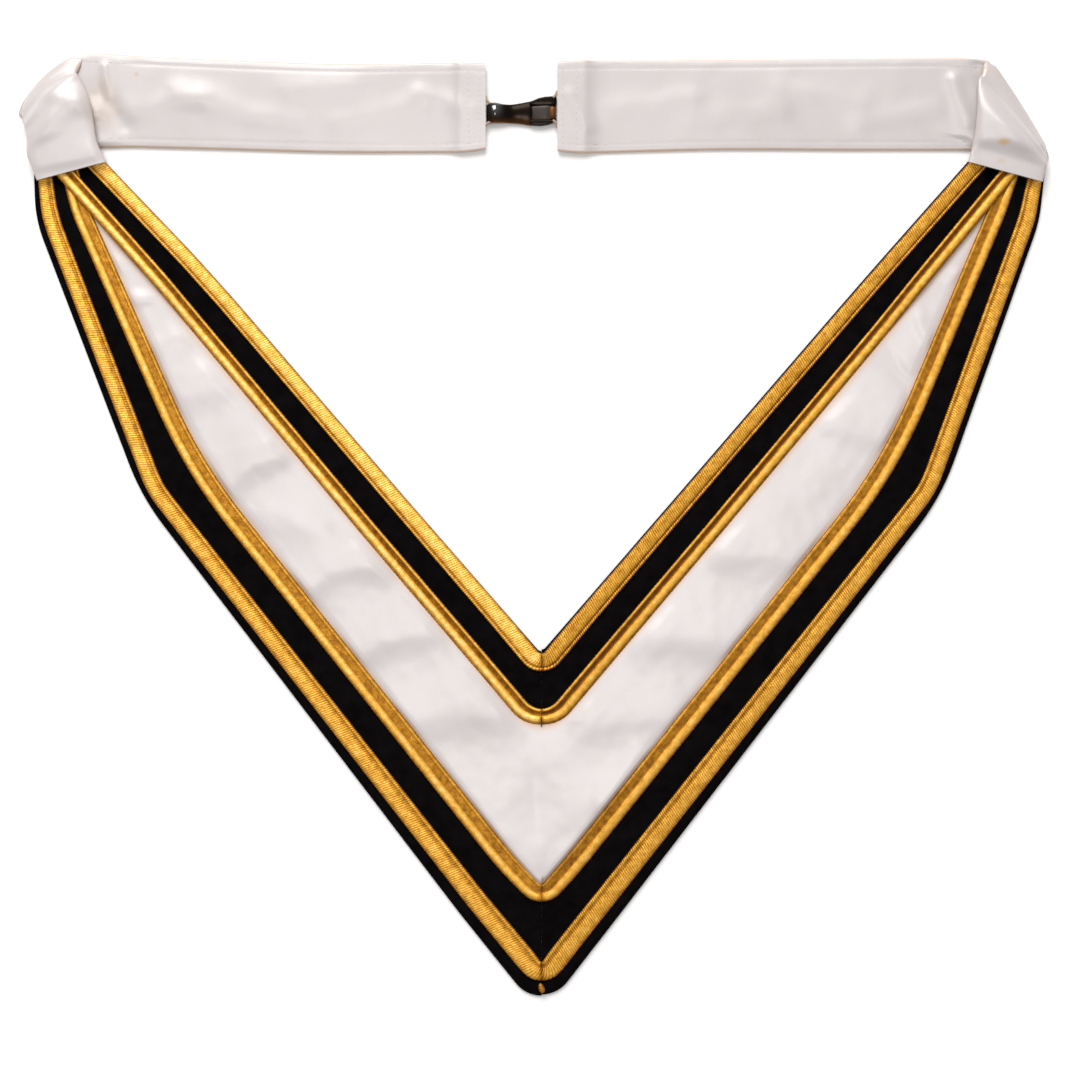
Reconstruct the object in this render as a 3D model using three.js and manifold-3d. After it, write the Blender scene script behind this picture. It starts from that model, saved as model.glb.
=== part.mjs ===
import * as THREE from 'three';
import { mergeVertices } from 'three/addons/utils/BufferGeometryUtils.js';
import Module from 'manifold-3d';

const wasm = await Module();
wasm.setup();

// A V-shaped regalia collar lying flat, face up. Lengths are in millimetres and angles in degrees.
// While the pieces are made, the neck opening's point is at x 0, y 0, and the surface it lies on is z 0.

// Body outline of one half
const neckDepth = 225;
const neckHalfWidth = 197.5;
const neckPointRound = 2.3;
const neckBow = 2.4;
const shoulderHalfWidth = 184.3;
const shoulderHeight = 71.5;
const shoulderRound = 112;
const pointDrop = 167.4;
const pointRound = 15;
const pointBow = 1.2;
const pointBowPlace = 0.2;
const bowRound = 300;
const armEndSlant = 15;
const armEndWidth = 35.8;
const armTopLength = 17;
const armTopRound = 60;
const armTopLean = 1.9;
const armLap = 5;
const bodyThickness = 2.2;
const bodyEdgeRound = 0.5;

// Gold braids and the black bands beside them
const neckLip = 0.6;
const neckBraidWidth = 8.2;
const neckBandWidth = 10.3;
const innerBraidWidth = 7.8;
const outerLip = 2.8;
const outerBraidWidth = 8.6;
const outerBandWidth = 11.3;
const fieldBraidWidth = 9;
const braidThickness = 1.4;
const clearance = 0.3;
const weldDistance = 1e-4;
const longestStep = 70;
const arcStep = THREE.MathUtils.degToRad(7);

// Satin field
const satinThickness = 1;
const satinPuff = 1.3;
const satinFold = 1.6;
const satinTipWidth = 0.6;

// Neck straps
const strapWidth = 40;
const strapThickness = 1.6;
const strapAboveArm = 6.5;
const strapFoldGap = 1.4;
const strapPuff = 3;

// Hook and eye
const claspGap = 33;
const claspMiddle = -9.2;
const claspDrop = 3.2;
const metalThickness = 3.4;
const metalRound = 0.8;
const sewnPlateThickness = 1.2;
const sewnPlateLength = 9;
const plateOverlap = 2;
const hookWidth = 9.2;
const noseWidth = 6.2;
const eyeLength = 11;
const eyeWall = 1.6;
const eyeFlareHigh = 2.3;
const eyeFlareLow = 0.5;
const eyeBar = 3.2;
const eyeShoulder = 4.3;

// Thread knot at the point
const knotWidth = 3.4;
const knotLength = 4.6;
const knotHeight = 1.8;

// Turns of the braids on their neck side, where they differ from the body's own
const innerPointRound = 9.5;
const outerPointRound = 0.8;
const fieldPointRound = 1.5;
const outerShoulderRound = 45;
const fieldShoulderRound = 240;

// The two halves differ a little, as hand sewing does: shares of the named sizes.
const halves = [
  { name: 'left', sign: -1, neckHalf: 1.01, neckBow: 1, pointBow: 1, armEnd: 0.964, armLean: 0.32 },
  { name: 'right', sign: 1, neckHalf: 0.99, neckBow: 0.25, pointBow: 0.17, armEnd: 1.034, armLean: 1 },
];

// Rows along the neck edge, from the centre seam to the arm end. Widths are shares of the named ones, bow of
// the half's bow, and lift is 1 where the braid lies over the outer one.
const neckRows = [
  { along: 0, bow: 0, braid: 1.1, band: 1.02, field: 1.05, lift: 0 },
  { along: 0.32, bow: 0.3, braid: 1, band: 0.98, field: 1, lift: 0 },
  { along: 0.72, bow: 1, braid: 0.95, band: 0.85, field: 0.97, lift: 0 },
  { along: 0.81, bow: 0.9, braid: 0.94, band: 0.75, field: 0.97, lift: 1 },
  { along: 1, bow: 0, braid: 0.94, band: 0.52, field: 0.97, lift: 1 },
];

// Rows along the outer edge, one for each corner: point, bow beside it, shoulder, arm top, arm end.
const outerRows = [
  { lip: 2, braid: 1.23, band: 1.02, field: 1.07 },
  { lip: 1.8, braid: 1.17, band: 1.01, field: 1.06 },
  { lip: 1.1, braid: 1, band: 0.97, field: 1.02 },
  { lip: 0.72, braid: 0.95, band: 0.5, field: 0.95 },
  { lip: 0.5, braid: 0.78, band: 0.36, field: 0.9 },
];

// Heights across a braid as shares of its thickness, at equal steps from the neck side.
const wideRib = [0.35, 0.85, 0.95, 0.9, 0.45, 0.9, 0.4];
const twinRib = [0.4, 0.95, 0.8, 0.4, 0.85, 1, 0.4];

// Radii of each braid's turns on its neck side, one for each row but the last.
const turns = {
  neck: [neckPointRound, bowRound, bowRound, bowRound],
  inner: [innerPointRound, bowRound, bowRound, bowRound],
  outer: [outerPointRound, bowRound, outerShoulderRound, armTopRound],
  field: [fieldPointRound, bowRound, fieldShoulderRound, armTopRound],
};

// Soft folds across the satin: where along the field, how long along it, where across, and how high.
const satinFolds = {
  left: [
    { along: 0.2, length: 0.035, across: 0.62, reach: 0.5, height: 0.6 },
    { along: 0.35, length: 0.03, across: 0.35, reach: 0.4, height: 0.8 },
    { along: 0.47, length: 0.03, across: 0.6, reach: 0.45, height: 0.9 },
    { along: 0.6, length: 0.035, across: 0.45, reach: 0.5, height: 0.8 },
    { along: 0.74, length: 0.03, across: 0.5, reach: 0.6, height: 0.6 },
  ],
  right: [
    { along: 0.25, length: 0.05, across: 0.4, reach: 0.5, height: 0.7 },
    { along: 0.45, length: 0.06, across: 0.65, reach: 0.5, height: 0.5 },
    { along: 0.66, length: 0.05, across: 0.4, reach: 0.5, height: 0.5 },
  ],
};

// A neck strap runs level from the clasp out to a diagonal fold, and from there its flap comes down over
// the arm end. Places are shares of the strap's width, outwards from the arm's inner corner and upwards from
// the strap's middle line; toClasp blends from there (0) to the strap's own clasp end (1). top is the upper
// edge of the level run, which becomes the flap's neck side. crown and bow are the bulge of the middle,
// upwards and outwards. lift is 1 over the sewn plate of the clasp.
const strapLevel = {
  left: [
    { toClasp: 1, topOut: 0, topUp: 0.485, lowOut: 0, lowUp: -0.505, crown: 0, lift: 1 },
    { toClasp: 0.94, topOut: 0, topUp: 0.495, lowOut: 0, lowUp: -0.535, crown: 0, lift: 1 },
    { toClasp: 0.87, topOut: 0, topUp: 0.495, lowOut: 0, lowUp: -0.535, crown: 0, lift: 0 },
    { toClasp: 0.6, topOut: 0, topUp: 0.485, lowOut: 0, lowUp: -0.535, crown: 0.15, lift: 0 },
    { toClasp: 0.3, topOut: 0, topUp: 0.53, lowOut: 0, lowUp: -0.5, crown: 0.2, lift: 0 },
    { toClasp: 0.08, topOut: 0, topUp: 0.575, lowOut: 0, lowUp: -0.475, crown: 0.2, lift: 0 },
    { toClasp: 0, topOut: 0.12, topUp: 0.605, lowOut: 0.4, lowUp: -0.445, crown: 0.1, lift: 0 },
  ],
  right: [
    { toClasp: 1, topOut: 0, topUp: 0.505, lowOut: 0, lowUp: -0.525, crown: 0, lift: 1 },
    { toClasp: 0.94, topOut: 0, topUp: 0.52, lowOut: 0, lowUp: -0.545, crown: 0, lift: 1 },
    { toClasp: 0.87, topOut: 0, topUp: 0.525, lowOut: 0, lowUp: -0.535, crown: 0, lift: 0 },
    { toClasp: 0.6, topOut: 0, topUp: 0.53, lowOut: 0, lowUp: -0.505, crown: 0.15, lift: 0 },
    { toClasp: 0.3, topOut: 0, topUp: 0.545, lowOut: 0, lowUp: -0.51, crown: 0.15, lift: 0 },
    { toClasp: 0.1, topOut: 0, topUp: 0.55, lowOut: 0, lowUp: -0.51, crown: 0.1, lift: 0 },
    { toClasp: 0, topOut: 0, topUp: 0.55, lowOut: 0.4, lowUp: -0.515, crown: 0, lift: 0 },
  ],
};
const strapFold = {
  left: { topOut: 0.32, topUp: 0.575, lowOut: 1, lowUp: -0.115, bow: 0.09 },
  right: { topOut: 0.245, topUp: 0.525, lowOut: 0.925, lowUp: -0.58, bow: 0.02 },
};

// Rows down the flap, from the fold (0) to its sewn end (1). The edges swing outwards by shares of the
// width, and climb is the share of the rise from the fold to the top of the arm's braids.
const strapFlap = {
  left: [
    { down: 0.2, topOut: 0.075, lowOut: -0.015, bow: 0.03, climb: 0.5, crown: 0.8 },
    { down: 0.39, topOut: 0.01, lowOut: -0.01, bow: 0, climb: 1, crown: 1 },
    { down: 0.6, topOut: 0.025, lowOut: 0.035, bow: 0, climb: 1, crown: 0.5 },
    { down: 0.82, topOut: 0.05, lowOut: 0.02, bow: 0, climb: 1, crown: 0.1 },
    { down: 1, topOut: 0, lowOut: 0, bow: 0, climb: 1, crown: 0 },
  ],
  right: [
    { down: 0.22, topOut: -0.07, lowOut: 0.015, bow: 0, climb: 0.4, crown: 0.6 },
    { down: 0.45, topOut: -0.025, lowOut: 0.005, bow: 0, climb: 1, crown: 0.8 },
    { down: 0.7, topOut: 0.01, lowOut: 0, bow: 0, climb: 1, crown: 0.3 },
    { down: 0.9, topOut: 0.01, lowOut: 0, bow: 0, climb: 1, crown: 0.05 },
    { down: 1, topOut: 0, lowOut: 0, bow: 0, climb: 1, crown: 0 },
  ],
};

// The hook's shank in plan, from the strap to its shoulder: shares of its length and of its half width.
const shankRows = [
  { along: 0, high: 0.84, low: 0.84 },
  { along: 0.12, high: 1, low: 1 },
  { along: 0.55, high: 0.88, low: 0.96 },
  { along: 1, high: 1, low: 1 },
];

// Heights at which the layers lie, and how far each one steps up over the last.
const trimBase = bodyThickness + clearance;
const layerStep = braidThickness + clearance;
const flapBase = trimBase + 2 * layerStep;
const strapMiddle = neckDepth + strapAboveArm + strapWidth / 2;
const strapFoldRadius = (strapThickness + strapFoldGap) / 2;
const claspHeight = strapMiddle - claspDrop;
const foldTurns = [0, 45, 90, 135, 180].map((angle) => THREE.MathUtils.degToRad(angle));
const satinGap = 2 * clearance;

// How finely each piece is divided
const satinAcross = 8;
const satinAlong = 24;
const satinCrowding = 1.3;
const tipSteps = 30;
const strapAcross = 8;
const noseSteps = 8;
const knotAround = 10;
const knotRings = 6;
const edgeSteps = 2;

// How the satin's puff fades into the arm's tip, and how its folds slant across the field
const satinTipFade = 2.5;
const foldSlant = 0.06;

const velvet = { color: 0x0d0c0e, roughness: 0.95, metalness: 0 };
const satin = { color: 0xe6e2e4, roughness: 0.4, metalness: 0 };
const goldThread = { color: 0xc8963a, roughness: 0.45, metalness: 0.6 };
const blackMetal = { color: 0x141414, roughness: 0.2, metalness: 0.9 };

const collar = new THREE.Group();
const body = new THREE.Group();
collar.add(body);

function addPiece(name, geometry, finish) {
  const mesh = new THREE.Mesh(geometry, new THREE.MeshStandardMaterial(finish));
  mesh.name = name;
  body.add(mesh);
}

function mix(a, b, share) {
  return a + (b - a) * share;
}

// A slab of unit size whose corners are moved by place(across, along, up), each from 0 to 1.
// A mirrored half runs across the other way, so that its faces still point out.
function placedSlab(across, along, sign, place) {
  const slab = new THREE.BoxGeometry(1, 1, 1, across, along, 1);
  const position = slab.attributes.position;
  for (let i = 0; i < position.count; i += 1) {
    const share = position.getX(i) + 0.5;
    const from = sign > 0 ? share : 1 - share;
    const point = place(from, position.getY(i) + 0.5, position.getZ(i) + 0.5);
    position.setXYZ(i, sign * point.x, point.y, point.z);
  }
  slab.computeVertexNormals();
  return slab;
}

// The arm's inner corner, where the neck edge ends.
function armCorner(half) {
  return new THREE.Vector2(neckHalfWidth * half.neckHalf, neckDepth);
}

// The corners of a half's neck edge and outer edge, from the centre seam to the arm end.
function neckCorners(half) {
  const end = armCorner(half);
  const inward = new THREE.Vector2(-end.y, end.x).normalize();
  return neckRows.map((row) => {
    return end.clone().multiplyScalar(row.along).addScaledVector(inward, neckBow * half.neckBow * row.bow);
  });
}

function outerCorners(half) {
  const end = armCorner(half).addScaledVector(endDirection(), armEndWidth * half.armEnd);
  const point = new THREE.Vector2(0, -pointDrop);
  const shoulder = new THREE.Vector2(shoulderHalfWidth, shoulderHeight);
  const outward = rightOf(shoulder.clone().sub(point).normalize());
  return [
    point,
    point.clone().lerp(shoulder, pointBowPlace).addScaledVector(outward, pointBow * half.pointBow),
    shoulder,
    new THREE.Vector2(end.x - armTopLean * half.armLean, end.y - armTopLength),
    end,
  ];
}

// Carries the last corner on by the length that is hidden under the strap.
function lapped(corners) {
  const last = corners.length - 1;
  const ahead = corners[last].clone().sub(corners[last - 1]).normalize();
  return corners.map((corner, i) => (i === last ? corner.clone().addScaledVector(ahead, armLap) : corner));
}

// The direction along an arm's end, outwards.
function endDirection() {
  const slant = THREE.MathUtils.degToRad(armEndSlant);
  return new THREE.Vector2(Math.cos(slant), -Math.sin(slant));
}

function rightOf(direction) {
  return new THREE.Vector2(direction.y, -direction.x);
}

// Moves each corner sideways by its own distance, the last one along the arm's end. Positive is outwards.
function inset(corners, distances) {
  return corners.map((corner, i) => {
    const after = corners[i + 1];
    const before = i > 0 ? corners[i - 1] : new THREE.Vector2(-corners[1].x, corners[1].y);
    const back = corner.clone().sub(before).normalize();
    const ahead = after ? after.clone().sub(corner).normalize() : back;
    const side = after ? rightOf(back.clone().add(ahead).normalize()) : endDirection();
    return corner.clone().addScaledVector(side, distances[i] / side.dot(rightOf(ahead)));
  });
}

// Stops along a route with rounded corners. Each keeps its place between the rows as spot: 1.5 is
// halfway from the second row to the third. The first corner is on the seam, and half its turn is kept.
function roundedRoute(corners, rounds) {
  const stops = [];
  corners.forEach((corner, i) => {
    const after = corners[i + 1];
    if (!after) {
      stops.push({ point: corner.clone(), spot: i });
      return;
    }
    const before = i > 0 ? corners[i - 1] : new THREE.Vector2(-after.x, after.y);
    const back = before.clone().sub(corner);
    const ahead = after.clone().sub(corner);
    const half = back.angleTo(ahead) / 2;
    const turned = Math.PI - 2 * half;
    const turnWay = -Math.sign(back.cross(ahead));
    const halfSteps = Math.max(1, Math.ceil(turned / (2 * arcStep)));
    const middle = back.clone().normalize().add(ahead.clone().normalize()).normalize();
    const centre = corner.clone().addScaledVector(middle, rounds[i] / Math.sin(half));
    const start = corner.clone().addScaledVector(back.clone().normalize(), rounds[i] / Math.tan(half));
    for (let k = i > 0 ? 0 : halfSteps; k <= 2 * halfSteps; k += 1) {
      const point = start.clone().rotateAround(centre, (turnWay * turned * k) / (2 * halfSteps));
      const gone = point.distanceTo(corner);
      const spot = k < halfSteps ? i - gone / back.length() : i + gone / ahead.length();
      stops.push({ point, spot: k === halfSteps ? i : spot });
    }
  });
  const route = [stops[0]];
  stops.slice(1).forEach((stop) => {
    const last = route[route.length - 1];
    const count = Math.ceil(stop.point.distanceTo(last.point) / longestStep);
    for (let k = 1; k <= count; k += 1) {
      const point = last.point.clone().lerp(stop.point, k / count);
      route.push({ point, spot: mix(last.spot, stop.spot, k / count) });
    }
  });
  return route;
}

// The value of a table's column between its rows.
function between(rows, column, spot) {
  const low = THREE.MathUtils.clamp(Math.floor(spot), 0, rows.length - 2);
  return mix(rows[low][column], rows[low + 1][column], THREE.MathUtils.clamp(spot - low, 0, 1));
}

// The neck-side and outer-side edges of a band that follows a route.
function bandEdges(route, halfWidth) {
  const sides = route.map((stop, i) => {
    const before = i > 0 ? route[i - 1].point : new THREE.Vector2(-route[1].point.x, route[1].point.y);
    const back = stop.point.clone().sub(before).normalize();
    const after = route[i + 1];
    const ahead = after ? after.point.clone().sub(stop.point).normalize() : back.clone();
    return rightOf(back.add(ahead).normalize());
  });
  const edge = (sign) => route.map((stop, i) => {
    return stop.point.clone().addScaledVector(sides[i], sign * halfWidth(stop.spot));
  });
  return { neckSide: edge(-1), outerSide: edge(1) };
}

// The centre route of each braid, with its width at a spot.
function braidLines(half) {
  const neckEnds = neckCorners(half);
  const outerEnds = outerCorners(half);
  const neckBraid = (row) => neckBraidWidth * row.braid;
  const innerBraid = (row) => innerBraidWidth * row.field;
  const outerBraid = (row) => outerBraidWidth * row.braid;
  const fieldBraid = (row) => fieldBraidWidth * row.field;
  const toNeckBraid = (row) => neckLip + neckBraid(row) / 2;
  const toInnerBraid = (row) => neckLip + neckBraid(row) + neckBandWidth * row.band + innerBraid(row) / 2;
  const toOuterBraid = (row) => outerLip * row.lip + outerBraid(row) / 2;
  const toFieldBraid = (row) => {
    return outerLip * row.lip + outerBraid(row) + outerBandWidth * row.band + fieldBraid(row) / 2;
  };
  const line = (corners, rows, distance, way, width, column, turn) => {
    const middles = lapped(inset(corners, rows.map((row) => way * distance(row))));
    const rounds = turn.map((round, i) => round + (width * rows[i][column]) / 2);
    return { route: roundedRoute(middles, rounds), width: (spot) => width * between(rows, column, spot) };
  };
  return {
    neck: line(neckEnds, neckRows, toNeckBraid, 1, neckBraidWidth, 'braid', turns.neck),
    inner: line(neckEnds, neckRows, toInnerBraid, 1, innerBraidWidth, 'field', turns.inner),
    outer: line(outerEnds, outerRows, toOuterBraid, -1, outerBraidWidth, 'braid', turns.outer),
    field: line(outerEnds, outerRows, toFieldBraid, -1, fieldBraidWidth, 'field', turns.field),
  };
}

function velvetHalf(half) {
  const neckEdge = roundedRoute(lapped(neckCorners(half)), turns.neck);
  const outerRounds = [pointRound, bowRound, shoulderRound, armTopRound];
  const outerEdge = roundedRoute(lapped(outerCorners(half)), outerRounds);
  const outline = [...neckEdge, ...outerEdge.reverse()].map((stop) => {
    return new THREE.Vector2(half.sign * stop.point.x, stop.point.y);
  });
  const velvetGeometry = new THREE.ExtrudeGeometry(new THREE.Shape(outline), {
    depth: bodyThickness - 2 * bodyEdgeRound,
    bevelEnabled: true,
    bevelThickness: bodyEdgeRound,
    bevelSize: bodyEdgeRound,
    bevelOffset: -bodyEdgeRound,
    bevelSegments: edgeSteps,
  });
  velvetGeometry.translate(0, 0, bodyEdgeRound);
  return velvetGeometry;
}

function braid(half, line, ribs, lift) {
  const edges = bandEdges(line.route, (spot) => line.width(spot) / 2);
  const steps = line.route.length - 1;
  return placedSlab(ribs.length - 1, steps, half.sign, (across, along, up) => {
    const stop = Math.round(along * steps);
    const place = edges.neckSide[stop].clone().lerp(edges.outerSide[stop], across);
    const rib = ribs[Math.round(across * (ribs.length - 1))];
    const base = trimBase + layerStep * lift(line.route[stop].spot);
    return new THREE.Vector3(place.x, place.y, base + up * rib * braidThickness);
  });
}

// Where a polyline that climbs reaches a height.
function crossingAt(points, height) {
  const i = Math.max(1, points.findIndex((point) => point.y >= height));
  const share = (height - points[i - 1].y) / (points[i].y - points[i - 1].y);
  return points[i - 1].clone().lerp(points[i], share);
}

function cutAt(points, height) {
  const kept = points.filter((point) => point.y < height);
  const path = new THREE.CurvePath();
  [...kept, crossingAt(points, height)].reduce((from, to) => {
    path.add(new THREE.LineCurve(from, to));
    return to;
  });
  return path;
}

function satinRelief(name, across, along) {
  const puff = satinPuff * Math.sqrt(Math.sin(Math.PI * across)) * Math.min(1, satinTipFade * (1 - along));
  const folds = satinFolds[name].reduce((sum, fold) => {
    const bend = along + foldSlant * (across - fold.across) - fold.along;
    const ridge = Math.exp(-((bend / fold.length) ** 2));
    const side = Math.max(0, 1 - ((across - fold.across) / fold.reach) ** 2);
    return sum + satinFold * fold.height * ridge * side;
  }, 0);
  return puff + folds * Math.sin(Math.PI * across);
}

function satinHalf(half, lines) {
  const innerEdge = bandEdges(lines.inner.route, (spot) => lines.inner.width(spot) / 2 + satinGap).outerSide;
  const outerEdge = bandEdges(lines.field.route, (spot) => lines.field.width(spot) / 2 + satinGap).neckSide;
  let low = shoulderHeight;
  let high = neckDepth;
  for (let i = 0; i < tipSteps; i += 1) {
    const height = (low + high) / 2;
    const width = crossingAt(outerEdge, height).x - crossingAt(innerEdge, height).x;
    if (width > satinTipWidth) low = height;
    else high = height;
  }
  const innerPath = cutAt(innerEdge, low);
  const outerPath = cutAt(outerEdge, low);
  return placedSlab(satinAcross, satinAlong, half.sign, (across, along, up) => {
    const share = along ** satinCrowding;
    const place = innerPath.getPoint(share).lerp(outerPath.getPoint(share), across);
    const relief = up * (satinThickness + satinRelief(half.name, across, share));
    return new THREE.Vector3(place.x, place.y, trimBase + relief);
  });
}

// The cross-lines of a strap, from its clasp end to its sewn end: two edge places, height, roll and bulges.
function strapLines(half) {
  const corner = armCorner(half);
  const claspEnd = half.sign * claspMiddle + claspGap / 2;
  const onTable = strapThickness / 2;
  const folded = onTable + 2 * strapFoldRadius;
  const place = (out, up, toClasp) => {
    const x = mix(corner.x + out * strapWidth, claspEnd, toClasp);
    return new THREE.Vector2(x, strapMiddle + up * strapWidth);
  };
  const ends = (row, toClasp) => ({
    top: place(row.topOut, row.topUp, toClasp),
    low: place(row.lowOut, row.lowUp, toClasp),
  });
  const level = strapLevel[half.name].map((row) => {
    const height = onTable + row.lift * (sewnPlateThickness + clearance);
    return { ...ends(row, row.toClasp), height, turn: 0, bow: 0, crown: row.crown * strapPuff };
  });
  const fold = strapFold[half.name];
  const foldEnds = ends(fold, 0);
  const roll = foldTurns.map((turn) => {
    const height = onTable + strapFoldRadius * (1 - Math.cos(turn));
    return { ...foldEnds, height, turn, bow: fold.bow * strapWidth, crown: 0 };
  });
  const armOuter = corner.clone().addScaledVector(endDirection(), armEndWidth * half.armEnd - outerLip / 2);
  const swung = (from, to, down, out) => {
    return from.clone().lerp(to, down).add(new THREE.Vector2(out * strapWidth, 0));
  };
  const flap = strapFlap[half.name].map((row) => ({
    top: swung(foldEnds.top, corner, row.down, row.topOut),
    low: swung(foldEnds.low, armOuter, row.down, row.lowOut),
    height: mix(folded, flapBase + onTable, row.climb),
    turn: Math.PI,
    bow: row.bow * strapWidth,
    crown: row.crown * strapPuff,
  }));
  return [...level, ...roll, ...flap];
}

function strap(half) {
  const lines = strapLines(half);
  const steps = lines.length - 1;
  return placedSlab(strapAcross, steps, half.sign, (across, along, up) => {
    const line = lines[Math.round(along * steps)];
    const down = line.low.clone().sub(line.top).normalize();
    const outward = new THREE.Vector2(-down.y, down.x);
    const bulge = 4 * across * (1 - across);
    const depth = (up - 0.5) * strapThickness;
    const out = line.bow * bulge + (strapFoldRadius - depth) * Math.sin(line.turn);
    const place = line.top.clone().lerp(line.low, across).addScaledVector(outward, out);
    const height = line.height + line.crown * bulge + depth * Math.cos(line.turn);
    return new THREE.Vector3(place.x, place.y, height);
  });
}

// A flat metal outline with rounded edges, from a height of 0 up. The rounding leaves the narrowest wall.
function metalPlate(points, thickness, narrowest) {
  const round = Math.min(metalRound, thickness / 4, narrowest / 4);
  const plate = new THREE.ExtrudeGeometry(new THREE.Shape(points), {
    depth: thickness - 2 * round,
    bevelEnabled: true,
    bevelThickness: round,
    bevelSize: round,
    bevelOffset: -round,
    bevelSegments: edgeSteps,
  });
  plate.translate(0, 0, round);
  return plate;
}

function toSolid(geometry) {
  const bare = geometry.clone();
  bare.deleteAttribute('normal');
  bare.deleteAttribute('uv');
  const welded = mergeVertices(bare, weldDistance);
  return new wasm.Manifold(
    new wasm.Mesh({
      numProp: 3,
      vertProperties: new Float32Array(welded.attributes.position.array),
      triVerts: new Uint32Array(welded.index.array),
    }),
  );
}

function joined(first, second) {
  const mesh = toSolid(first).add(toSolid(second)).getMesh();
  const geometry = new THREE.BufferGeometry();
  geometry.setAttribute('position', new THREE.BufferAttribute(new Float32Array(mesh.vertProperties), 3));
  geometry.setIndex(new THREE.BufferAttribute(new Uint32Array(mesh.triVerts), 1));
  geometry.computeVertexNormals();
  return geometry;
}

function sewnPlate(fromX, toX) {
  const corners = [[fromX, -1], [toX, -1], [toX, 1], [fromX, 1]];
  const outline = corners.map(([x, side]) => new THREE.Vector2(x, (side * hookWidth) / 2));
  return metalPlate(outline, sewnPlateThickness, hookWidth);
}

// Both metal pieces are drawn about the clasp's own height, each clear of its strap's end. The hook's nose
// lies in the eye's slot.
const hookStart = claspMiddle - claspGap / 2 + clearance;
const eyeEnd = claspMiddle + claspGap / 2 - clearance;
const eyeMouth = eyeEnd - eyeLength;
const hookShoulder = eyeMouth - clearance;
const slotEnd = eyeEnd - eyeBar;
const slotHalf = noseWidth / 2 + clearance;

function hookSolid() {
  const shankSide = (column, way) => shankRows.map((row) => {
    return new THREE.Vector2(mix(hookStart, hookShoulder, row.along), (way * row[column] * hookWidth) / 2);
  });
  const round = noseWidth / 2;
  const noseMiddle = slotEnd - clearance - round;
  const nose = new THREE.EllipseCurve(noseMiddle, 0, round, round, -Math.PI / 2, Math.PI / 2);
  const outline = [
    ...shankSide('low', -1),
    new THREE.Vector2(hookShoulder, -round),
    ...nose.getPoints(noseSteps),
    new THREE.Vector2(hookShoulder, round),
    ...shankSide('high', 1).reverse(),
  ];
  const plate = sewnPlate(hookStart - sewnPlateLength, hookStart + plateOverlap);
  return joined(metalPlate(outline, metalThickness, noseWidth), plate);
}

function eyeSolid() {
  const mouthHalf = slotHalf + eyeWall;
  const shoulderAt = eyeMouth + eyeShoulder;
  const limb = (way, flare) => [
    new THREE.Vector2(eyeEnd, way * (mouthHalf + flare)),
    new THREE.Vector2(shoulderAt, way * (mouthHalf + flare)),
    new THREE.Vector2(eyeMouth, way * mouthHalf),
    new THREE.Vector2(eyeMouth, way * slotHalf),
    new THREE.Vector2(slotEnd, way * slotHalf),
  ];
  const outline = [...limb(1, eyeFlareHigh), ...limb(-1, eyeFlareLow).reverse()];
  const plate = sewnPlate(eyeEnd - plateOverlap, eyeEnd + sewnPlateLength);
  return joined(metalPlate(outline, metalThickness, eyeWall), plate);
}

function pointKnot(tipY) {
  const knot = new THREE.SphereGeometry(0.5, knotAround, knotRings);
  knot.scale(knotWidth, knotLength, knotHeight);
  knot.translate(0, tipY, trimBase + knotHeight / 2);
  return knot;
}

halves.forEach((half) => {
  const lines = braidLines(half);
  const level = () => 0;
  const crossing = (spot) => between(neckRows, 'lift', spot);
  const seam = (half.sign * clearance) / 2;
  const add = (name, geometry, finish) => {
    addPiece(`${name}_${half.name}`, geometry.translate(seam, 0, 0), finish);
  };
  add('velvet', velvetHalf(half), velvet);
  add('satin', satinHalf(half, lines), satin);
  add('neck_braid', braid(half, lines.neck, wideRib, level), goldThread);
  add('inner_field_braid', braid(half, lines.inner, twinRib, crossing), goldThread);
  add('outer_field_braid', braid(half, lines.field, [...twinRib].reverse(), level), goldThread);
  add('outer_braid', braid(half, lines.outer, [...wideRib].reverse(), level), goldThread);
  addPiece(`strap_${half.name}`, strap(half), satin);
});

const knotTop = bandEdges(braidLines(halves[0]).outer.route, (spot) => {
  return (outerBraidWidth * between(outerRows, 'braid', spot)) / 2;
});
addPiece('hook', hookSolid().translate(0, claspHeight, 0), blackMetal);
addPiece('eye', eyeSolid().translate(0, claspHeight, 0), blackMetal);
addPiece('point_knot', pointKnot(knotTop.outerSide[0].y - clearance - knotLength / 2), goldThread);

// The collar's own origin is under the middle of its box, on the surface it lies on.
const box = new THREE.Box3().setFromObject(body);
const middle = box.getCenter(new THREE.Vector3());
body.position.set(-middle.x, -middle.y, -box.min.z);

export default collar;
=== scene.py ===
import math

import bmesh
import bpy
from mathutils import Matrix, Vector, noise


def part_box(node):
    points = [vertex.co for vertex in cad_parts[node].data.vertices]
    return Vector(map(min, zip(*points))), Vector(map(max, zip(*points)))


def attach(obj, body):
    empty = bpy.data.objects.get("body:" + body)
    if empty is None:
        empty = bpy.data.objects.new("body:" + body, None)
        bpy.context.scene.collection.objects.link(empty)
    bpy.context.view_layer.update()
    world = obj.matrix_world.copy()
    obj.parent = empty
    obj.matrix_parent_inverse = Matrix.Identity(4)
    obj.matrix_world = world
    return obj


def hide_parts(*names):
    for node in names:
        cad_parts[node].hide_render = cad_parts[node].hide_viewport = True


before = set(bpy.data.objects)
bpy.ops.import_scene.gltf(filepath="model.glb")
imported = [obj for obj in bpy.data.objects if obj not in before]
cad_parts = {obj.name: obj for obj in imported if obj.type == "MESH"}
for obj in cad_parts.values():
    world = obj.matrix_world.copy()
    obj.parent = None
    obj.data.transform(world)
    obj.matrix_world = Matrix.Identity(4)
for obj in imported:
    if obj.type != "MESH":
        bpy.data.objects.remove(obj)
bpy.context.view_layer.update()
scene = bpy.context.scene

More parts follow.
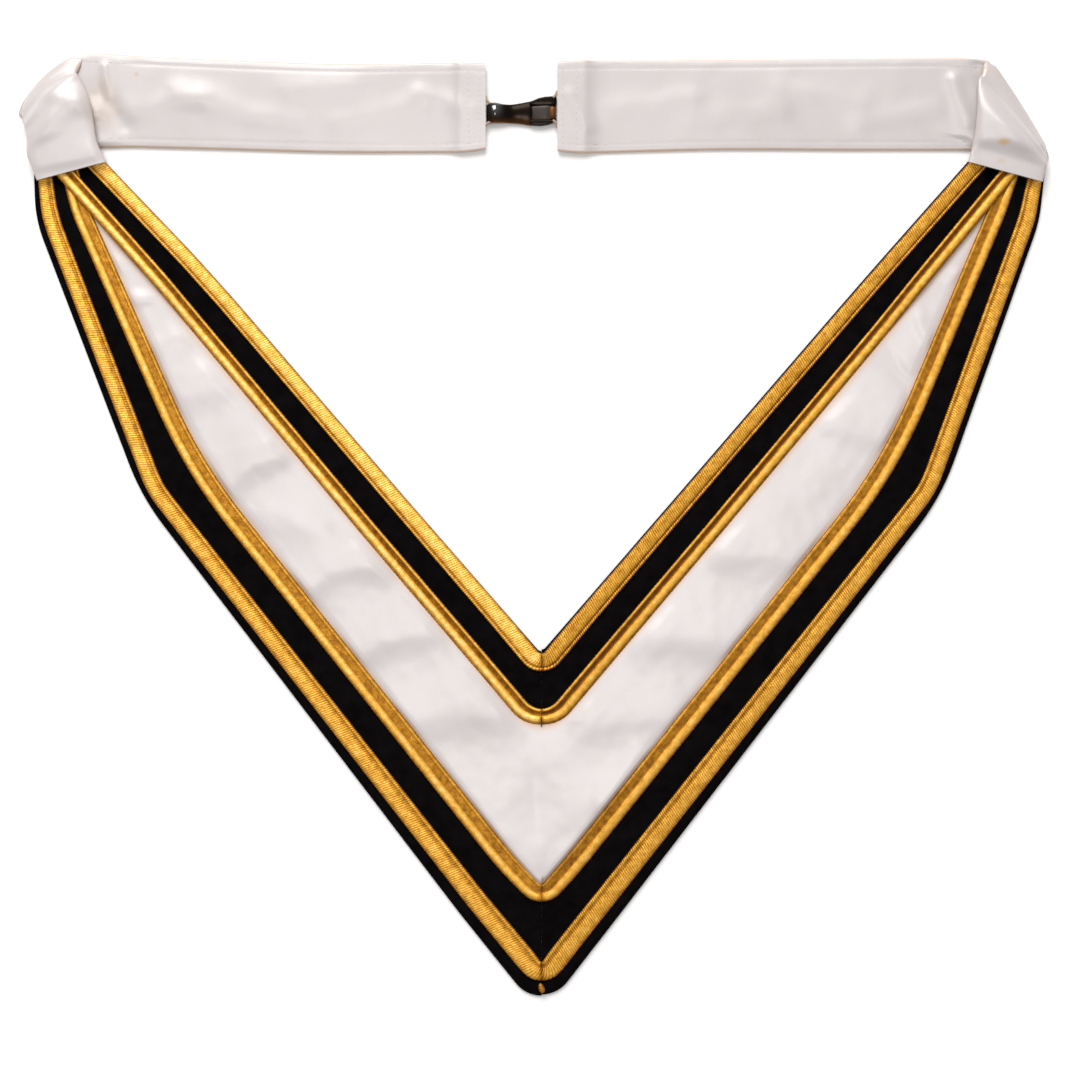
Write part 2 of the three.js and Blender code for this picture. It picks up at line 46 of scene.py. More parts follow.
# A V-shaped regalia collar lying flat: velvet halves, satin field, gold braids, satin straps, hook and eye.
# Sizes are in millimetres from the point of the neck opening, and photo places in the photograph's pixels.
MM = 0.001
PIXEL = 0.46
PHOTO_SEAM = 541.5
PHOTO_NECK = 652.0
PHOTO_CENTRE = 540.0
PHOTO_WIDTH = 1080.0
CLASP_ABOVE_NECK = 248.3

seam_x = (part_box("velvet_left")[1].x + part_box("velvet_right")[0].x) / 2
neck_y = (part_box("hook")[0].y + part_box("hook")[1].y) / 2 - CLASP_ABOVE_NECK * MM


def place(x, y, z):
    """A point on the collar, given in millimetres."""
    return Vector((seam_x + x * MM, neck_y + y * MM, z * MM))


def from_photo(px, py):
    """Where a pixel of the photograph lies on the collar, in millimetres."""
    return (px - PHOTO_SEAM) * PIXEL, (PHOTO_NECK - py) * PIXEL


def mix(a, b, share):
    return a + (b - a) * share


def fading_by(away, reach):
    """1 at a place, and less by a bell curve the further away."""
    return math.exp(-((away / reach) ** 2))


def uneven(x, y, z):
    return noise.noise(Vector((x, y, z)))


def smooth(share):
    share = min(1.0, max(0.0, share))
    return share * share * (3 - 2 * share)


# Camera, light and floor.
CAMERA_LENS = 85.0
CAMERA_SENSOR = 36.0
CAMERA_FOCUS_HEIGHT = 3.0
WHITE_LIGHT = (1.0, 0.985, 0.96)

camera_data = bpy.data.cameras.new("overhead_camera")
camera_data.lens = CAMERA_LENS
camera_data.sensor_width = CAMERA_SENSOR
camera = bpy.data.objects.new("overhead_camera", camera_data)
centre_x, centre_y = from_photo(PHOTO_CENTRE, PHOTO_CENTRE)
camera.location = place(centre_x, centre_y, CAMERA_FOCUS_HEIGHT)
camera.location.z += PHOTO_WIDTH * PIXEL * MM * CAMERA_LENS / CAMERA_SENSOR
scene.collection.objects.link(camera)
scene.camera = camera
scene.view_settings.view_transform = "Standard"


def soft_light(name, at, size, energy, colour):
    light_data = bpy.data.lights.new(name, "AREA")
    light_data.size = size
    light_data.energy = energy
    light_data.color = colour
    light = bpy.data.objects.new(name, light_data)
    light.location = at
    light.rotation_euler = (-Vector(at)).to_track_quat("-Z", "Y").to_euler()
    scene.collection.objects.link(light)


soft_light("window_light", (-0.6, 2.7, 2.6), 2.3, 134.0, WHITE_LIGHT)
soft_light("sheen_light", (-0.1, 0.1, 2.3), 0.5, 7.0, (1.0, 0.98, 0.96))

world = bpy.data.worlds.new("studio")
world.use_nodes = True
sky = world.node_tree.nodes["Background"]
sky.inputs["Color"].default_value = (1.0, 0.985, 0.98, 1)
sky.inputs["Strength"].default_value = 0.5
scene.world = world


# Shader helpers.
def new_material(name):
    material = bpy.data.materials.new(name)
    material.use_nodes = True
    return material, material.node_tree, material.node_tree.nodes["Principled BSDF"]


def put(tree, socket, value):
    """Gives a socket a fixed value, or links it to the output that works the value out."""
    if isinstance(value, bpy.types.NodeSocket):
        tree.links.new(value, socket)
    else:
        socket.default_value = value


def feed(tree, node, **values):
    """Puts values into a node's own inputs, with _ for each space in their names."""
    for key, value in values.items():
        put(tree, node.inputs[key.replace("_", " ")], value)


def add_node(tree, kind, *values, **settings):
    """A node with its settings, and with values for its first inputs in their order."""
    node = tree.nodes.new(kind)
    for key, value in settings.items():
        setattr(node, key, value)
    for socket, value in zip(node.inputs, values):
        put(tree, socket, value)
    return node


def joined_math(tree, operation, *values):
    return add_node(tree, "ShaderNodeMath", *values, operation=operation).outputs[0]


def scaled(tree, value, factor, plus):
    return joined_math(tree, "ADD", joined_math(tree, "MULTIPLY", value, factor), plus)


def blended_colour(tree, share, low, high):
    node = add_node(tree, "ShaderNodeMix", share, data_type="RGBA")
    put(tree, node.inputs[6], low)
    put(tree, node.inputs[7], high)
    return node.outputs[2]


def mark(tree, name):
    """What a piece's vertices are marked with under a name."""
    return add_node(tree, "ShaderNodeAttribute", attribute_name=name).outputs["Fac"]


def effect_group(name, outputs, **inputs):
    """A node group with named number outputs, and number inputs with their usual values."""
    tree = bpy.data.node_groups.new(name, "ShaderNodeTree")
    for key, value in inputs.items():
        key = key.replace("_", " ")
        tree.interface.new_socket(key, in_out="INPUT", socket_type="NodeSocketFloat").default_value = value
    for key in outputs:
        tree.interface.new_socket(key, in_out="OUTPUT", socket_type="NodeSocketFloat")
    return tree, tree.nodes.new("NodeGroupInput"), tree.nodes.new("NodeGroupOutput")


def use_group(tree, group, **values):
    node = add_node(tree, "ShaderNodeGroup", node_tree=group)
    feed(tree, node, **values)
    return node.outputs


def ribs_group():
    """Raised threads that lie across a braid, read from its cloth UV in millimetres."""
    tree, start, end = effect_group("thread ribs", ["Height"], Pitch=1.0, Slant=0.3, Unevenness=0.3)
    cloth = add_node(tree, "ShaderNodeUVMap", uv_map="cloth").outputs["UV"]
    parts = add_node(tree, "ShaderNodeSeparateXYZ", cloth)
    wander = add_node(tree, "ShaderNodeTexNoise")
    feed(tree, wander, Vector=cloth, Scale=0.9)
    drift = joined_math(tree, "MULTIPLY", wander.outputs["Fac"], start.outputs["Unevenness"])
    slanted = joined_math(tree, "MULTIPLY", parts.outputs["X"], start.outputs["Slant"])
    along = joined_math(tree, "ADD", joined_math(tree, "ADD", parts.outputs["Y"], slanted), drift)
    turns = joined_math(tree, "MULTIPLY", joined_math(tree, "DIVIDE", along, start.outputs["Pitch"]), math.pi)
    feed(tree, end, Height=joined_math(tree, "ABSOLUTE", joined_math(tree, "SINE", turns)))
    return tree


def cloth_noise_group():
    """Soft patches and a fine grain over a piece, from its own coordinates."""
    tree, start, end = effect_group(
        "cloth variation", ["Patches", "Grain"], Patch_Scale=30.0, Grain_Scale=900.0
    )
    here = add_node(tree, "ShaderNodeTexCoord").outputs["Object"]
    for name, output in (("Patch Scale", "Patches"), ("Grain Scale", "Grain")):
        texture = add_node(tree, "ShaderNodeTexNoise")
        feed(tree, texture, Vector=here, Scale=start.outputs[name], Detail=3.0)
        put(tree, end.inputs[output], texture.outputs["Fac"])
    return tree


def weave_group():
    """The fine crossing threads of a woven cloth, from the piece's own coordinates."""
    tree, start, end = effect_group("satin weave", ["Height"], Threads=1700.0)
    here = add_node(tree, "ShaderNodeTexCoord").outputs["Object"]
    waves = []
    for direction in ("X", "Y"):
        wave = add_node(tree, "ShaderNodeTexWave", wave_type="BANDS", bands_direction=direction)
        feed(tree, wave, Vector=here, Scale=start.outputs["Threads"], Distortion=1.5, Detail=1.0)
        waves.append(wave.outputs["Fac"])
    feed(tree, end, Height=joined_math(tree, "MULTIPLY", *waves))
    return tree


THREAD_RIBS = ribs_group()
CLOTH_VARIATION = cloth_noise_group()
SATIN_WEAVE = weave_group()


def varied_material(name, patch_scale, grain_scale):
    """A material, its tree and shader, and the soft patches and the fine grain that vary it."""
    material, tree, shader = new_material(name)
    variation = use_group(tree, CLOTH_VARIATION, Patch_Scale=patch_scale, Grain_Scale=grain_scale)
    return material, tree, shader, variation["Patches"], variation["Grain"]


def bump_into(tree, shader, height, strength, distance):
    bump = add_node(tree, "ShaderNodeBump")
    feed(tree, bump, Strength=strength, Distance=distance, Height=height)
    feed(tree, shader, Normal=bump.outputs["Normal"])


# Gold thread colours from painted shade at the bottom of its grooves to a painted highlight on its ribs:
# place on the ramp and colour.
GOLD_RAMP = (
    (0.0, (0.18, 0.062, 0.004, 1)), (0.3, (0.46, 0.195, 0.012, 1)),
    (0.68, (0.84, 0.435, 0.062, 1)), (1.0, (1.0, 0.74, 0.27, 1)),
)
GOLD_DARKEST = -0.57
CROWN_PAINTED_LIGHT_WEIGHT, PATCH_WEIGHT, GRAIN_WEIGHT = 0.76, 0.7, 0.5


def gold_thread(name, pitch, slant, rib_height, rib_shade, lift):
    """Ribbed thread: pitch, slant and height of its ribs, how much they shade it, and how light it is. Its
    colour paints light and shade: lighter on high crowns and ribs, darker in grooves.
    """
    material, tree, shader, patches, grain = varied_material(name, 420.0, 2600.0)
    ribs = use_group(tree, THREAD_RIBS, Pitch=pitch, Slant=slant, Unevenness=0.8)["Height"]
    # The crown mark, the height across the section, paints shade into grooves and a highlight onto high
    # parts.
    crown = mark(tree, "crown")
    lit = lift + GOLD_DARKEST - 0.6 * rib_shade
    for value, weight in (
        (crown, CROWN_PAINTED_LIGHT_WEIGHT), (ribs, rib_shade), (patches, PATCH_WEIGHT), (grain, GRAIN_WEIGHT),
    ):
        lit = scaled(tree, value, weight, lit)
    ramp = add_node(tree, "ShaderNodeValToRGB", lit)
    stops = ramp.color_ramp.elements
    stops[0].color, stops[1].color = GOLD_RAMP[0][1], GOLD_RAMP[-1][1]
    for position, colour in GOLD_RAMP[1:-1]:
        stops.new(position).color = colour
    roughness = scaled(tree, grain, 0.25, 0.27)
    colour = ramp.outputs["Color"]
    feed(tree, shader, Base_Color=colour, Metallic=0.58, Specular_IOR_Level=0.25, Roughness=roughness)
    bump_into(tree, shader, scaled(tree, grain, 0.7, ribs), 1.0, rib_height * MM)
    return material


SATIN_SHADE = (0.56, 0.51, 0.505, 1)
SATIN_FACE = (0.67, 0.63, 0.63, 1)
STAIN_AND_SHADE = (0.52, 0.34, 0.17, 1)
# Warm tan painted shade and painted reflection along satin edges, beside the braids and on the straps' rims,
# laid by the mark named hem.
PAINTED_EDGE_SHADE = (0.62, 0.34, 0.15, 1)
PAINTED_EDGE_SHADE_SHARE = 0.75


def satin_cloth(name, stain_and_shade_spots=(), painted_shade_scale=1.0):
    """White satin with stain spots and painted shade patches (photo x, photo y, half width, half height,
    strength), painted warm shade and painted reflection along its edges where the hem mark says, and a scale
    that darkens its cloth as painted shade.
    """
    material, tree, shader, patches, grain = varied_material(name, 22.0, 1500.0)
    shade, face = (tuple(painted_shade_scale * part for part in tint[:3]) + (1,) for tint in (SATIN_SHADE, SATIN_FACE))
    colour = blended_colour(tree, patches, shade, face)
    here = add_node(tree, "ShaderNodeTexCoord").outputs["Object"]
    # Each patch darkens towards tan: stain spots, and on the left strap one broad patch of painted shade.
    for px, py, wide, high, strength in stain_and_shade_spots:
        sizes = (1 / (wide * PIXEL * MM), 1 / (high * PIXEL * MM), 0)
        middle = place(*from_photo(px, py), 0)
        away = add_node(tree, "ShaderNodeVectorMath", here, middle, operation="SUBTRACT")
        shaped = add_node(tree, "ShaderNodeVectorMath", away.outputs[0], sizes, operation="MULTIPLY")
        far = add_node(tree, "ShaderNodeVectorMath", shaped.outputs[0], operation="LENGTH")
        fading = add_node(tree, "ShaderNodeMapRange", scaled(tree, grain, 0.5, far.outputs["Value"]))
        feed(tree, fading, From_Min=0.7, From_Max=1.25, To_Min=strength, To_Max=0.0)
        colour = blended_colour(tree, fading.outputs[0], colour, STAIN_AND_SHADE)
    # The hem mark here is painted warm shade and painted reflection along the edges.
    edge_shading = joined_math(tree, "MULTIPLY", mark(tree, "hem"), PAINTED_EDGE_SHADE_SHARE)
    colour = blended_colour(tree, edge_shading, colour, PAINTED_EDGE_SHADE)
    feed(tree, shader, Base_Color=colour, Roughness=scaled(tree, patches, 0.12, 0.26))
    feed(tree, shader, Sheen_Weight=0.15, Sheen_Roughness=0.4, Specular_IOR_Level=1.0)
    bump_into(tree, shader, use_group(tree, SATIN_WEAVE)["Height"], 0.18, 0.05 * MM)
    return material


VELVET_DEEP = (0.0004, 0.0003, 0.0004, 1)
VELVET_NAP = (0.0060, 0.0046, 0.0052, 1)


def black_velvet(name):
    material, tree, shader, patches, grain = varied_material(name, 170.0, 2400.0)
    feed(tree, shader, Base_Color=blended_colour(tree, patches, VELVET_DEEP, VELVET_NAP))
    feed(tree, shader, Roughness=scaled(tree, grain, 0.2, 0.8), Sheen_Weight=0.002, Specular_IOR_Level=0.02)
    bump_into(tree, shader, grain, 0.6, 0.25 * MM)
    return material


def plain_thread(name, colour, roughness):
    material, tree, shader, patches, grain = varied_material(name, 400.0, 3000.0)
    darker = tuple(0.75 * c for c in colour[:3]) + (1,)
    feed(tree, shader, Base_Color=blended_colour(tree, patches, darker, colour), Roughness=roughness)
    bump_into(tree, shader, grain, 0.5, 0.05 * MM)
    return material


def polished_metal(name, colour, painted_underside_light, roughness, gloss):
    """Dark or brass plate with a painted brown reflection and painted shade along its underside, in patches,
    and lacquered where its mark says.
    """
    material, tree, shader, patches, grain = varied_material(name, 260.0, 2200.0)
    # The hem mark is the underside: painted brown reflection there, and on brass painted shade.
    share = scaled(tree, joined_math(tree, "MULTIPLY", patches, mark(tree, "hem")), 1.6, 0.02)
    lacquer = joined_math(tree, "ADD", mark(tree, "lacquer"), gloss)
    feed(tree, shader, Base_Color=blended_colour(tree, share, colour, painted_underside_light), Coat_Weight=lacquer)
    feed(tree, shader, Metallic=1.0, Coat_IOR=2.3, Coat_Roughness=0.1)
    feed(tree, shader, Roughness=scaled(tree, grain, 0.15, roughness))
    bump_into(tree, shader, patches, 0.15, 0.1 * MM)
    return material


# Thread: pitch, slant and height of its ribs, and how much they darken it as painted shade.
RIBBED_THREAD = (1.1, 0.3, 0.12, 0.32)
CORDED_THREAD = (0.8, 1.1, 0.06, 0.14)
KNOTTED_GOLD = gold_thread("knotted gold thread", 0.9, 0.6, 0.08, 0.3, -0.56)
FIELD_SATIN = satin_cloth("field satin")
# The broad patch at (102, 104) is painted shade beside the left flap; the other left patches are stain spots.
LEFT_STAINS_AND_SHADE = ((136, 74, 3, 3, 0.5), (120, 111, 5, 4, 0.2), (102, 104, 22, 36, 0.2), (76, 66, 8, 5, 0.3))
RIGHT_STAINS = ((1001, 144, 8, 4, 0.8), (999, 162, 6, 4, 0.35), (985, 71, 6, 4, 0.3))
# The straps' satin is darkened, the right more, as painted shade.
STRAP_SATIN = {
    "left": satin_cloth("left strap satin", LEFT_STAINS_AND_SHADE, 0.9),
    "right": satin_cloth("right strap satin", RIGHT_STAINS, 0.86),
}
VELVET = black_velvet("black velvet")
WHITE_THREAD = plain_thread("white thread", (0.80, 0.75, 0.72, 1), 0.6)
DARK_THREAD = plain_thread("dark thread", (0.07, 0.035, 0.018, 1), 0.7)
# Tan thread for the clasp corners, which also stands in for painted shade there.
LOOP_THREAD_AND_SHADE = plain_thread("loop thread and edge shade", (0.42, 0.30, 0.22, 1), 0.7)
# Metals: colour, painted underside reflection and shade, roughness and lacquer all over.
BLACK_METAL = polished_metal("black nickel", (0.006, 0.005, 0.004, 1), (0.16, 0.06, 0.018, 1), 0.22, 0.02)
WORN_METAL = polished_metal("worn nickel", (0.045, 0.038, 0.034, 1), (0.10, 0.05, 0.03, 1), 0.35, 0.01)
BRASS = polished_metal("worn brass", (0.13, 0.055, 0.02, 1), (0.05, 0.02, 0.01, 1), 0.4, 0.0)


# Mesh helpers.
def finished(name, mesh_maker, material, replaced=()):
    """Makes an object of a bmesh, rides it on the collar and gives it its finish."""
    mesh = bpy.data.meshes.new(name)
    mesh_maker.to_mesh(mesh)
    mesh_maker.free()
    mesh.materials.append(material)
    mesh.polygons.foreach_set("use_smooth", [True] * len(mesh.polygons))
    piece = bpy.data.objects.new(name, mesh)
    scene.collection.objects.link(piece)
    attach(piece, "root")
    if replaced:
        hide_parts(*replaced)
    return piece


def laid_grid(across, along, spot, lay=lambda u, v: (u, v), marks=()):
    """A grid laid by spot(u, v), with cloth UV by lay(u, v) and vertex marks (name, value(u, v))."""
    maker = bmesh.new()
    bmesh.ops.create_grid(maker, x_segments=across, y_segments=along, size=0.5)
    cloth = maker.loops.layers.uv.new("cloth")
    layers = [(maker.verts.layers.float.new(name), value) for name, value in marks]
    for face in maker.faces:
        for corner in face.loops:
            corner[cloth].uv = lay(corner.vert.co.x + 0.5, corner.vert.co.y + 0.5)
    for vertex in maker.verts:
        u, v = vertex.co.x + 0.5, vertex.co.y + 0.5
        for layer, value in layers:
            vertex[layer] = value(u, v)
        vertex.co = spot(u, v)
    return maker


def laid_round(*grid, **marks):
    """A grid laid round a section, with its two long sides joined and its ends closed."""
    maker = laid_grid(*grid, **marks)
    bmesh.ops.remove_doubles(maker, verts=maker.verts, dist=1e-7)
    rims = [edge for edge in maker.edges if edge.is_boundary]
    for edge in rims:
        edge.smooth = False
    bmesh.ops.holes_fill(maker, edges=rims, sides=0)
    bmesh.ops.recalc_face_normals(maker, faces=maker.faces)
    return maker


# The routes that braids and edges follow.
NECK_DEPTH = 225.0
NECK_HALF_WIDTH = 197.5
NECK_BOW = 2.4
SHOULDER = (184.3, 71.5)
POINT_DROP = 167.4
POINT_BOW = 1.2
POINT_BOW_PLACE = 0.2
ARM_END_SLANT = math.radians(15)
ARM_END_WAY = Vector((math.cos(ARM_END_SLANT), -math.sin(ARM_END_SLANT)))
ARM_END_WIDTH = 35.8
ARM_TOP_LENGTH = 17.0
ARM_TOP_LEAN = 1.9
ARM_LAP = 5.0
NECK_LIP = 0.6
NECK_BRAID = 8.2
NECK_BAND = 10.3
INNER_BRAID = 7.8
OUTER_LIP = 2.8
OUTER_BRAID = 8.6
OUTER_BAND = 11.3
FIELD_BRAID = 9.0
BODY_TOP = 2.2
TRIM_BASE = 2.5
LAYER_STEP = 1.7
BRAID_THICKNESS = 1.4
STRAIGHT_TURN = 300.0
ARM_TURN = 60.0


def table(columns, *rows):
    return [dict(zip(columns.split(), row)) for row in rows]


# The two halves differ a little, as sewing does: shares of the sizes above, and cuff and bare in millimetres.
HALVES = table(
    "name sign neck neck_bow point_bow arm_end lean cuff bare",
    ("left", -1, 1.01, 1.0, 1.0, 0.964, 0.32, 0.9, 0.0),
    ("right", 1, 0.99, 0.25, 0.17, 1.034, 1.0, 0.0, 0.5),
)
# Rows along the neck edge and along the outer edge, from the seam to the arm: shares of the sizes above.
NECK_ROWS = table(
    "along bow braid band field lift",
    (0.0, 0.0, 1.1, 1.02, 1.05, 0),
    (0.32, 0.3, 1.0, 0.98, 1.0, 0),
    (0.72, 1.0, 0.95, 0.85, 0.97, 0),
    (0.81, 0.9, 0.94, 0.75, 0.97, 1),
    (1.0, 0.0, 0.94, 0.52, 0.97, 1),
)
OUTER_ROWS = table(
    "lip braid band field",
    (2.0, 1.23, 1.02, 1.07),
    (1.8, 1.17, 1.01, 1.06),
    (1.1, 1.0, 0.97, 1.02),
    (0.72, 0.95, 0.5, 0.95),
    (0.5, 0.78, 0.36, 0.9),
)
# Radii of the turns on the neck side, one for each row but the last. STRAIGHT_TURN is nearly straight.
TURNS = {
    "neck": (2.3, STRAIGHT_TURN, STRAIGHT_TURN, STRAIGHT_TURN),
    "inner": (9.5, STRAIGHT_TURN, STRAIGHT_TURN, STRAIGHT_TURN),
    "outer": (0.8, STRAIGHT_TURN, 45, ARM_TURN),
    "field": (1.5, STRAIGHT_TURN, 240, ARM_TURN),
    "body": (15, STRAIGHT_TURN, 112, ARM_TURN),
}


def right_of(way):
    return Vector((way.y, -way.x))


def arm_corner(half):
    return Vector((NECK_HALF_WIDTH * half["neck"], NECK_DEPTH))


def neck_corners(half):
    end = arm_corner(half)
    inward = Vector((-end.y, end.x)).normalized() * NECK_BOW * half["neck_bow"]
    return [end * row["along"] + inward * row["bow"] for row in NECK_ROWS]


def outer_corners(half):
    end = arm_corner(half) + ARM_END_WAY * ARM_END_WIDTH * half["arm_end"]
    point = Vector((0, -POINT_DROP))
    shoulder = Vector(SHOULDER)
    bowed = point.lerp(shoulder, POINT_BOW_PLACE)
    bowed += right_of((shoulder - point).normalized()) * POINT_BOW * half["point_bow"]
    arm_top = Vector((end.x - ARM_TOP_LEAN * half["lean"], end.y - ARM_TOP_LENGTH))
    return [point, bowed, shoulder, arm_top, end]


def lapped(corners):
    ahead = (corners[-1] - corners[-2]).normalized()
    return corners[:-1] + [corners[-1] + ahead * ARM_LAP]


def inset(corners, distances):
    """Moves each corner sideways, the last one along the arm's end. Positive is outwards."""
    moved = []
    for i, corner in enumerate(corners):
        before = corners[i - 1] if i else Vector((-corners[1].x, corners[1].y))
        back = (corner - before).normalized()
        last = i == len(corners) - 1
        ahead = back if last else (corners[i + 1] - corner).normalized()
        side = ARM_END_WAY if last else right_of((back + ahead).normalized())
        moved.append(corner + side * (distances[i] / side.dot(right_of(ahead))))
    return moved


def rounded(corners, rounds, arc_step=math.radians(2)):
    """Stops (point, place between the rows) along a route with rounded corners, from the seam outwards."""
    stops = []
    for i, corner in enumerate(corners[:-1]):
        after = corners[i + 1]
        before = corners[i - 1] if i else Vector((-after.x, after.y))
        back, ahead = before - corner, after - corner
        half = back.angle(ahead) / 2
        turned = math.pi - 2 * half
        way = -math.copysign(1, back.x * ahead.y - back.y * ahead.x)
        steps = max(1, math.ceil(turned / (2 * arc_step)))
        middle = (back.normalized() + ahead.normalized()).normalized()
        centre = corner + middle * (rounds[i] / math.sin(half))
        start = corner + back.normalized() * (rounds[i] / math.tan(half))
        for k in range(0 if i else steps, 2 * steps + 1):
            angle = way * turned * k / (2 * steps)
            arm = start - centre
            c, s = math.cos(angle), math.sin(angle)
            point = centre + Vector((arm.x * c - arm.y * s, arm.x * s + arm.y * c))
            gone = (point - corner).length
            spot = i if k == steps else (i - gone / back.length if k < steps else i + gone / ahead.length)
            stops.append((point, spot))
    stops.append((corners[-1].copy(), len(corners) - 1))
    return stops


def evened(stops, count):
    """The same route in count equal steps, as (point, way, spot, distance gone)."""
    gone = [0.0]
    for (a, _), (b, _) in zip(stops, stops[1:]):
        gone.append(gone[-1] + (b - a).length)
    even = []
    i = 0
    for k in range(count + 1):
        target = gone[-1] * k / count
        while i < len(gone) - 2 and gone[i + 1] < target:
            i += 1
        share = (target - gone[i]) / max(gone[i + 1] - gone[i], 1e-9)
        (a, spot_a), (b, spot_b) = stops[i], stops[i + 1]
        even.append((a.lerp(b, share), mix(spot_a, spot_b, share), target))
    ways = [Vector((1.0, 0.0))]
    for k in range(1, count + 1):
        ways.append((even[min(k + 1, count)][0] - even[k - 1][0]).normalized())
    return [(point, way, spot, target) for (point, spot, target), way in zip(even, ways)]


def between(rows, column, spot):
    low = min(max(int(math.floor(spot)), 0), len(rows) - 2)
    return mix(rows[low][column], rows[low + 1][column], min(1.0, max(0.0, spot - low)))


def width_at(line, row):
    return line["width"] * between(line["rows"], line["column"], row)


def braid_lines(half):
    """The centre route of each braid with its rows, width and column."""
    inner_at, outer_at = neck_corners(half), outer_corners(half)

    def neck(row):
        return NECK_LIP + NECK_BRAID * row["braid"] / 2

    def inner(row):
        return NECK_LIP + NECK_BRAID * row["braid"] + NECK_BAND * row["band"] + INNER_BRAID * row["field"] / 2

    def outer(row):
        return OUTER_LIP * row["lip"] + OUTER_BRAID * row["braid"] / 2

    def field(row):
        clear = OUTER_LIP * row["lip"] + OUTER_BRAID * row["braid"] + OUTER_BAND * row["band"]
        return clear + FIELD_BRAID * row["field"] / 2

    lines = {}
    for name, corners, rows, distance, way, width, column in (
        ("neck", inner_at, NECK_ROWS, neck, 1, NECK_BRAID, "braid"),
        ("inner", inner_at, NECK_ROWS, inner, 1, INNER_BRAID, "field"),
        ("outer", outer_at, OUTER_ROWS, outer, -1, OUTER_BRAID, "braid"),
        ("field", outer_at, OUTER_ROWS, field, -1, FIELD_BRAID, "field"),
    ):
        middles = lapped(inset(corners, [way * distance(row) for row in rows]))
        rounds = [turn + width * row[column] / 2 for turn, row in zip(TURNS[name], rows)]
        lines[name] = {"stops": rounded(middles, rounds), "rows": rows, "width": width, "column": column}
    return lines


# Braids.
# Sections from the neck side outwards: share of the width, and height as a share of the thickness.
RIBBED_SECTION = (
    (0, 0.1), (0.06, 0.75), (0.2, 0.98), (0.5, 1), (0.72, 0.88),
    (0.79, 0.4), (0.83, 0.4), (0.89, 0.98), (0.95, 0.75), (1, 0.1),
)
OUTER_SECTION = (
    (0, 0.1), (0.06, 0.75), (0.15, 0.88), (0.24, 0.62), (0.31, 0.62),
    (0.42, 0.9), (0.55, 1), (0.8, 0.98), (0.94, 0.75), (1, 0.1),
)
INNER_SECTION = (
    (0, 0.1), (0.07, 0.75), (0.15, 0.78), (0.22, 0.05), (0.4, 0.0),
    (0.5, 0.75), (0.66, 1), (0.82, 0.85), (0.9, 0.4), (1, 0.1),
)
FIELD_SECTION = (
    (0, 0.1), (0.06, 0.6), (0.14, 0.66), (0.2, 0.34), (0.5, 0.3),
    (0.58, 0.8), (0.72, 1), (0.86, 0.85), (0.95, 0.4), (1, 0.1),
)
# Each braid's node, section, thread, pitch of its edges' loops, how light its thread is on the left and the
# right half, the right half darker as painted shade, and the rows of the photograph where its upper and lower
# edge cross the seam.
BRAID_MAKES = {
    "neck": ("neck_braid", RIBBED_SECTION, RIBBED_THREAD, 1.6, (-0.09, -0.32), (653, 671.5)),
    "inner": ("inner_field_braid", INNER_SECTION, CORDED_THREAD, 1.9, (0.06, -0.09), (708.5, 724.5)),
    "field": ("outer_field_braid", FIELD_SECTION, CORDED_THREAD, 1.9, (-0.05, -0.09), (883.5, 902)),
    "outer": ("outer_braid", OUTER_SECTION, RIBBED_THREAD, 1.6, (-0.24, -0.26), (961, 981)),
}
EDGE_LOOP = 0.2
EDGE_LOOP_ROOM = 0.3
EDGE_SHARE = 0.1
BRAID_CLEAR = 0.25
BRAID_LUMP = 0.05
BRAID_COLUMNS = 24
BRAID_STEP = 0.6
# How far along a braid the seam changes its place, width, height and its colour by painted shade, and the
# last two's shares.
SEAM_PLACE_REACH = 20.0
SEAM_WIDTH_REACH = 6.0
SEAM_DIP_REACH = 0.9
SEAM_SHADE_REACH = 1.1
SEAM_DIP = 0.25
SEAM_SHADE = 0.7


def section_height(section, share):
    for (a, low), (b, high) in zip(section, section[1:]):
        if share <= b:
            return mix(low, high, smooth((share - a) / (b - a)))
    return section[-1][1]


